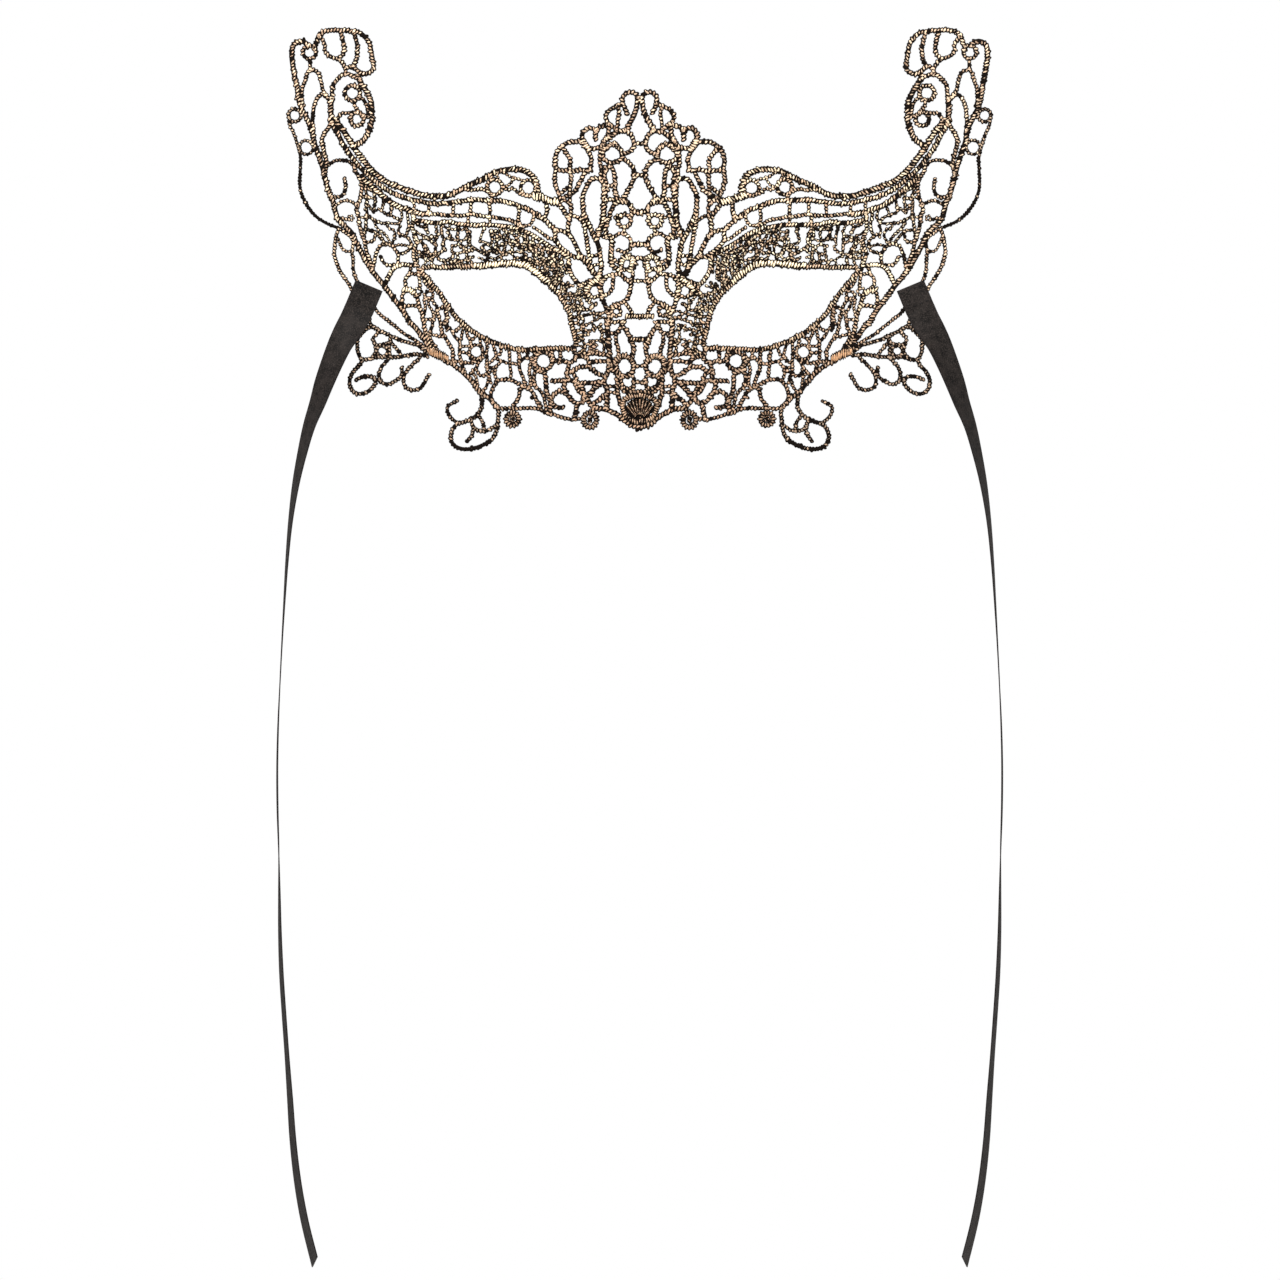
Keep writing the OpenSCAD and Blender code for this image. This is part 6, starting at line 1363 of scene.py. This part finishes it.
@dataclass
class Medallion(LaceField):
    """Shell at the nose's tip: a copper rim round a fan of ribs, on a dark filled ground.

    ribs gives the fan's tips, which all lean to the root. ground is its middle height and its half sizes.
    """

    node: str = "nose_medallion"
    central: bool = True
    cords: tuple[Route, ...] = (
        (2.2, (0, -26.9, 2, -27, 3.8, -27.5, 5.2, -28.5, 5.8, -30, 5.6, -31.7, 5.1, -33.2, 3.9, -34.7, 2.1,
          -35.6, 0, -35.9)),
        (1.1, (4.4, -28, 4.2, -30.4, 3.7, -32.6, 2.6, -35)),
        (1.1, (2.9, -27.5, 2.7, -30, 2.2, -32.5, 1.3, -35.4)),
        (1.1, (1.1, -27.3, 1, -30.4, 0.6, -35.4)),
    )
    rim_wrap: Wrap = Wrap(pitch=0.85, lean=12, ragged=0.08, bare=0.02, lift=1.8, fill=0.66, tone=0.04)
    rib_wrap: Wrap = Wrap(pitch=0.5, lean=8, bare=0.0, lift=1.5, ragged=0.04, fill=0.8, swell=1.0)
    ground_wrap: Wrap = Wrap(pitch=0.8, bare=1.0, lift=0.9, swell=1.2, shape=FINE_WRAP)
    ribs: tuple[tuple[float, float], ...] = (
        (0, -28.4), (1.2, -28.5), (2.35, -28.9), (3.4, -29.6), (4.1, -30.7))
    root: tuple[float, float] = (0, -36)
    reach: float = 0.62
    ground: tuple[float, float, float] = (-31.6, 4.7, 3.5)

    def lay(self, thread: ThreadMesh, side: Side) -> None:
        """Lays the rim, the ribs and one half of the ground."""
        rim = self.cords[0]
        thread.cord(smooth(points(rim[1], side)), rim[0], self.rim_wrap)
        for u, z in self.ribs:
            tip = np.array([-side.value * u, z])
            foot = tip + (np.array(self.root) - tip) * self.reach
            thread.cord(smooth(np.array([tip, foot]), steps=8), np.linspace(0.85, 0.5, 9), self.rib_wrap)
        z, wide, tall = self.ground
        for share in np.arange(0.06, 1, 0.15):
            reach = tall * math.sqrt(1 - share**2)
            x = -side.value * share * wide
            line = np.array([[x, z + reach], [x * 0.96, z], [x * 0.8, z - reach]])
            thread.cord(smooth(line), 1.0, self.ground_wrap)


@dataclass
class FanRoot(LaceField):
    """Tan satin block where the cheek fan's cords gather. waist gives u, z and width along it."""

    node: str = "fan_root"
    slot: Slot = Slot.BLOCK
    wrap: Wrap = Wrap(pitch=0.66, lean=24, ragged=0.06, bare=0.02, lift=1.7, fill=0.54, swell=1.0)
    waist: tuple[tuple[float, float, float], ...] = (
        (71.9, -11.9, 2.6), (71, -12.1, 3.6), (69.6, -12.6, 4), (68, -13.2, 4.1), (66.5, -13.9, 3.9),
        (65.2, -14.5, 3))

    def lay(self, thread: ThreadMesh, side: Side) -> None:
        """Lays the close satin stitches of the block."""
        line = smooth(np.array(self.waist))
        line[:, 0] *= -side.value
        thread.cord(line[:, :2], line[:, 2], self.wrap)


@dataclass
class Berry(LaceField):
    """Round knot of looped thread with a sunk dark eye.

    tall is its height over its width. rim_place and rim_width are shares of its radius. eye_width, seed_width
    and seed_reach, how far the seeds lie from its middle, are in millimetres.
    """

    centre: tuple[float, float] = (0, 0)
    radius: float = 3.0
    tall: float = 1.0
    seeds: int = 0
    rim_place: float = 0.66
    rim_width: float = 0.7
    eye_width: float = 2.2
    seed_width: float = 0.8
    seed_reach: float = 0.9
    rim_wrap: Wrap = Wrap(pitch=0.95, lean=6, bare=0.02, lift=1.7, ragged=0.07, swell=1.0, fill=0.6, tone=1.0)
    eye_wrap: Wrap = Wrap(pitch=0.6, bare=1.0, lift=1.2, swell=1.0)
    seed_wrap: Wrap = Wrap(pitch=0.6, bare=0, lift=1.5, swell=1.0)

    def lay(self, thread: ThreadMesh, side: Side) -> None:
        """Lays the knot's looped rim, the dark thread in its eye and its seeds."""
        place = np.array([-side.value * self.centre[0], self.centre[1]])
        turn = np.linspace(0, math.tau, 33)
        circle = np.column_stack([np.cos(turn), np.sin(turn) * self.tall])
        rim = place + circle * (self.radius * self.rim_place)
        thread.cord(rim, self.radius * self.rim_width, self.rim_wrap, True)
        eye = np.array([[0.0, -0.8], [0.0, 0.8]]) * self.tall
        thread.cord(place + eye, self.eye_width, self.eye_wrap)
        for i in range(self.seeds):
            a = math.tau * i / self.seeds
            spot = place + np.array([math.cos(a), math.sin(a)]) * self.seed_reach
            thread.cord(np.array([spot - [0.3, 0], spot + [0.3, 0]]), self.seed_width, self.seed_wrap)


# ------------------------------------------------------------------------------------------- ribbons


@dataclass
class RibbonTie:
    """A satin ribbon from its sewn end to its slanted cut, in millimetres.

    stations give the free length's u, z and its turn about its own length in degrees.
    """

    side: Side
    width: float = 10.0
    thickness: float = 0.4
    lace_depth: float = 1.4
    clear: float = 0.35
    tab_top: tuple[float, float] = (91.9, 10.4)
    tab_length: float = 8.8
    tab_slope: float = 22.7
    slant: float = 4.0
    fold: float = 4.0
    across_steps: int = 10
    stations: tuple[tuple[float, float, float], ...] = (
        (95.5, 1.9, 2), (97.1, -1.6, 8), (99.6, -6, 20), (101.8, -10.2, 31), (104.5, -16.6, 39),
        (107, -23.2, 45.5), (109.1, -29.6, 53.5), (111.9, -37.4, 62), (114.1, -46, 67.5), (116.4, -57, 73),
        (118.2, -69.6, 78.3), (119.4, -83, 81.3), (120.3, -97, 83.5), (121.1, -111, 85),
        (121.8, -125, 85.7), (122.4, -139, 86.8), (122.7, -153, 87.3), (122.6, -167, 87.3),
        (122.2, -181, 86), (122, -195, 83), (121.8, -209, 80.5), (121.3, -223, 78.7), (120.4, -237, 78.3),
        (119.4, -251, 78), (118.4, -265, 75.8), (117.4, -279.5, 74), (115.8, -293.5, 72.5),
        (113.5, -306.5, 71), (110.5, -318.7, 70),
    )

    def depth(self, turn: np.ndarray) -> np.ndarray:
        """Returns how far the centre line stands in front of the lace's back at each turn."""
        flare = self.clear + self.width / 2 * np.sin(np.radians(turn))
        return self.lace_depth + self.thickness / 2 + 0.05 + flare * np.minimum(turn / 10, 1)

    def down(self) -> np.ndarray:
        """Returns the sewn end's direction in u and z."""
        a = math.radians(self.tab_slope)
        return np.array([math.sin(a), -math.cos(a)])

    def line(self) -> np.ndarray:
        """Returns u, z, turn and depth along the whole ribbon."""
        free = np.array(self.stations)
        free = np.column_stack([free, self.depth(free[:, 2])])
        flat = self.lace_depth + self.thickness / 2
        sewn = [[*(np.array(self.tab_top) + self.down() * self.tab_length * t), 0, flat]
                for t in (0, 0.25, 0.5, 0.75, 0.95)]
        return smooth(np.vstack([sewn, free]), steps=5)

    def section(self) -> np.ndarray:
        """Returns the ribbon's rounded section: across and through, once round."""
        w, h = self.width / 2, self.thickness / 2
        x = np.linspace(-1, 1, self.across_steps + 1)
        side = np.sign(x) * np.abs(x) ** 0.9 * (w - h * 0.5)
        front = np.column_stack([side, np.full(len(x), -h)])
        back = np.column_stack([side[::-1], np.full(len(x), h)])
        return np.vstack([front, [[w, 0]], back, [[-w, 0]]])

    def build(self) -> bpy.types.Object:
        """Makes the ribbon as one closed mesh that bends where the sewn end stops."""
        line = self.line()
        s, ring = self.side.value, self.section()
        heading = np.gradient(line[:, :2], axis=0)
        heading /= np.linalg.norm(heading, axis=1, keepdims=True)
        run = np.concatenate([[0], np.cumsum(np.linalg.norm(np.diff(line[:, :2], axis=0), axis=1))])
        turn = np.radians(line[:, 2])[:, None]
        out_w = ring[:, 0] * np.cos(turn) + ring[:, 1] * np.sin(turn)
        out_y = -ring[:, 0] * np.sin(turn) + ring[:, 1] * np.cos(turn)
        drop = np.zeros_like(out_w)
        drop[-1] = self.slant * (0.5 - ring[:, 0] / self.width)
        drop[-2] = drop[-1] * 0.6
        u = line[:, :1] + out_w * heading[:, 1:] + drop * heading[:, :1]
        z = line[:, 1:2] - out_w * heading[:, :1] + drop * heading[:, 1:]
        place = np.stack([-s * u, -line[:, 3:] + out_y, z], axis=-1) * MM
        n, k = out_w.shape
        faces = [(i * k + j, (i + 1) * k + j, (i + 1) * k + (j + 1) % k, i * k + (j + 1) % k)
                 for i in range(n - 1) for j in range(k)]
        faces += [tuple(range(k)), tuple((n - 1) * k + j for j in reversed(range(k)))]
        mesh = bpy.data.meshes.new(f"ribbon_{self.side.word}")
        mesh.from_pydata(place.reshape(-1, 3).tolist(), [], faces)
        cloth = np.stack(np.broadcast_arrays(ring[:, 0], run[:, None]), axis=-1).reshape(-1, 2) * MM
        loops = np.empty(len(mesh.loops), np.int32)
        mesh.loops.foreach_get("vertex_index", loops)
        mesh.uv_layers.new(name="UVMap").data.foreach_set("uv", cloth[loops].astype(np.float32).ravel())
        mesh.materials.append(WARDROBE.material(Slot.RIBBON))
        ribbon = bpy.data.objects.new(mesh.name, mesh)
        bpy.context.collection.objects.link(ribbon)
        bpy.ops.object.select_all(action="DESELECT")
        ribbon.select_set(True)
        bpy.context.view_layer.objects.active = ribbon
        bpy.ops.object.mode_set(mode="EDIT")
        bpy.ops.mesh.select_all(action="SELECT")
        bpy.ops.mesh.normals_make_consistent(inside=False)
        bpy.ops.object.mode_set(mode="OBJECT")
        bpy.ops.object.shade_smooth_by_angle(angle=math.radians(40))
        self.declare(ribbon)
        return ribbon

    def declare(self, ribbon: bpy.types.Object) -> None:
        """Bakes the ribbon's place into its mesh and hides the frame's parts that it stands for.

        Args:
            ribbon: the finished piece.
        """
        word, s = self.side.word, self.side.value
        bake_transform(ribbon)
        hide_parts(f"ribbon_tab_{word}", f"ribbon_tail_{word}")


@dataclass
class TabStitches:
    """Two rows of short stitches through the ribbon's sewn end."""

    tie: RibbonTie
    rows: tuple[float, ...] = (1.4, 7.0)
    offsets: tuple[float, ...] = (-3.3, -1.1, 1.1, 3.3)
    half: tuple[float, float, float] = (0.62, 0.2, 0.16)

    def build(self) -> bpy.types.Object:
        """Makes the stitches as one piece."""
        side = self.tie.side
        thread = ThreadMesh(f"tab_sewing_{side.word}")
        down = self.tie.down()
        square = np.array([-down[1], down[0]])
        front = -self.tie.lace_depth - self.tie.thickness - 0.04
        spots = np.array([np.array(self.tie.tab_top) + down * row + square * offset
                          for row in self.rows for offset in self.offsets])
        n = len(spots)
        centre = np.column_stack([-side.value * spots[:, 0], np.full(n, front), spots[:, 1]])
        along = np.tile([-side.value * down[0], 0, down[1]], (n, 1))
        half = np.array(self.half) * thread.rng.normal(1, 0.08, (n, 3))
        thread.stamp(FULL_WRAP, centre, along, half, np.ones(n), np.arange(n) * 1.0)
        piece = thread.write(Slot.THREAD)
        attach(piece, "lace")
        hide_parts(f"tab_stitches_{side.word}")
        return piece


# ------------------------------------------------------------------------------------------- studio


@dataclass
class Studio:
    """Camera, soft lights and a pale round floor. Lengths are in metres."""

    view_width: float = 0.4352
    view_centre: tuple[float, float] = (0.0001, -0.11)
    lens: float = 135
    sensor: float = 36
    floor_height: float = -0.42
    floor_radius: float = 0.6
    key_power: float = 14.0

    def build(self) -> None:
        """Makes everything that isn't part of the mask."""
        self.camera()
        self.lights()
        self.floor()

    def camera(self) -> None:
        """Places a long lens square to the lace."""
        data = bpy.data.cameras.new("studio_camera")
        data.lens, data.sensor_width = self.lens, self.sensor
        camera = bpy.data.objects.new("studio_camera", data)
        x, z = self.view_centre
        camera.location = (x, -self.view_width * self.lens / self.sensor, z)
        camera.rotation_euler = (math.pi / 2, 0, 0)
        bpy.context.collection.objects.link(camera)
        bpy.context.scene.camera = camera

    def lights(self) -> None:
        """Lights the lace from all round, with a soft key from the upper left."""
        scene = bpy.context.scene
        scene.view_settings.view_transform = "Standard"
        world = bpy.data.worlds.new("studio_world")
        world.use_nodes = True
        tree = world.node_tree
        tree.nodes.clear()
        rays = tree.nodes.new("ShaderNodeLightPath")
        strength = tree.nodes.new("ShaderNodeMapRange")
        strength.inputs["To Min"].default_value = 0.62
        strength.inputs["To Max"].default_value = 1.0
        background = tree.nodes.new("ShaderNodeBackground")
        output = tree.nodes.new("ShaderNodeOutputWorld")
        tree.links.new(rays.outputs["Is Camera Ray"], strength.inputs["Value"])
        tree.links.new(strength.outputs[0], background.inputs["Strength"])
        tree.links.new(background.outputs[0], output.inputs[0])
        background.inputs["Color"].default_value = (1, 1, 1, 1)
        scene.world = world
        self.softbox("key", (-0.45, -0.75, 0.65), 0.35, self.key_power)
        self.softbox("fill", (0.7, -0.7, 0.1), 0.5, self.key_power * 0.35)

    def softbox(self, name: str, place: tuple[float, float, float], size: float, power: float) -> None:
        """Adds one square light aimed at the lace."""
        data = bpy.data.lights.new(name, "AREA")
        data.size, data.energy = size, power
        light = bpy.data.objects.new(name, data)
        light.location = place
        aim = -np.array(place)
        light.rotation_mode = "QUATERNION"
        light.rotation_quaternion = Vector(aim).to_track_quat("-Z", "Y")
        bpy.context.collection.objects.link(light)

    def floor(self) -> None:
        """Adds the pale floor below the ribbons' ends."""
        bpy.ops.object.select_all(action="DESELECT")
        bpy.ops.mesh.primitive_cylinder_add(vertices=96, radius=self.floor_radius, depth=0.01,
                                            location=(0, 0, self.floor_height - 0.005))
        floor = bpy.context.active_object
        floor.name = "studio_floor"
        n = Nodes("pale_floor")
        colour = n.mix(n.noise(6), linear("f4f3f1"), linear("fbfaf8"))
        floor.data.materials.append(n.dress(Base_Color=colour, Roughness=0.9))


def lace_fields() -> Iterable[LaceField]:
    """Returns every field of the lace, from the wings to the nose."""
    return (
        WingTip(), WingInner(), TempleSpine(), TempleLoop(), TempleCurls(), TempleLeaf(), TempleHook(),
        WingRoot(), BrowEdge(), BrowBand(), BROW_NET, EyeRim(), INNER_NET, CheekNet(), CheekEdge(),
        NoseLace(), ChinLace(), Medallion(), CentreColumn(), ColumnTop(), CrownCrest(), CrownScrolls(),
        ForeheadLeaves(), CheekFan(), FanRoot(), LowerScroll(),
        Berry(node="berry_inner", centre=(16.9, -35.2), radius=3.35, tall=1.16),
        Berry(node="berry_outer", centre=(43.2, -34.9), radius=3.3, seeds=5),
    )


def main() -> None:
    """Builds the camera, the ribbons and the lace, and reports each piece."""
    logging.basicConfig(level=logging.INFO, format="%(message)s")
    Studio().build()
    for side in BOTH:
        tie = RibbonTie(side)
        for piece in (tie.build(), TabStitches(tie).build()):
            LOG.info("%s: %d faces", piece.name, len(piece.data.polygons))
    for lace in lace_fields():
        for piece in lace.build():
            LOG.info("%s: %d faces", piece.name, len(piece.data.polygons))


if __name__ == "__main__":
    main()
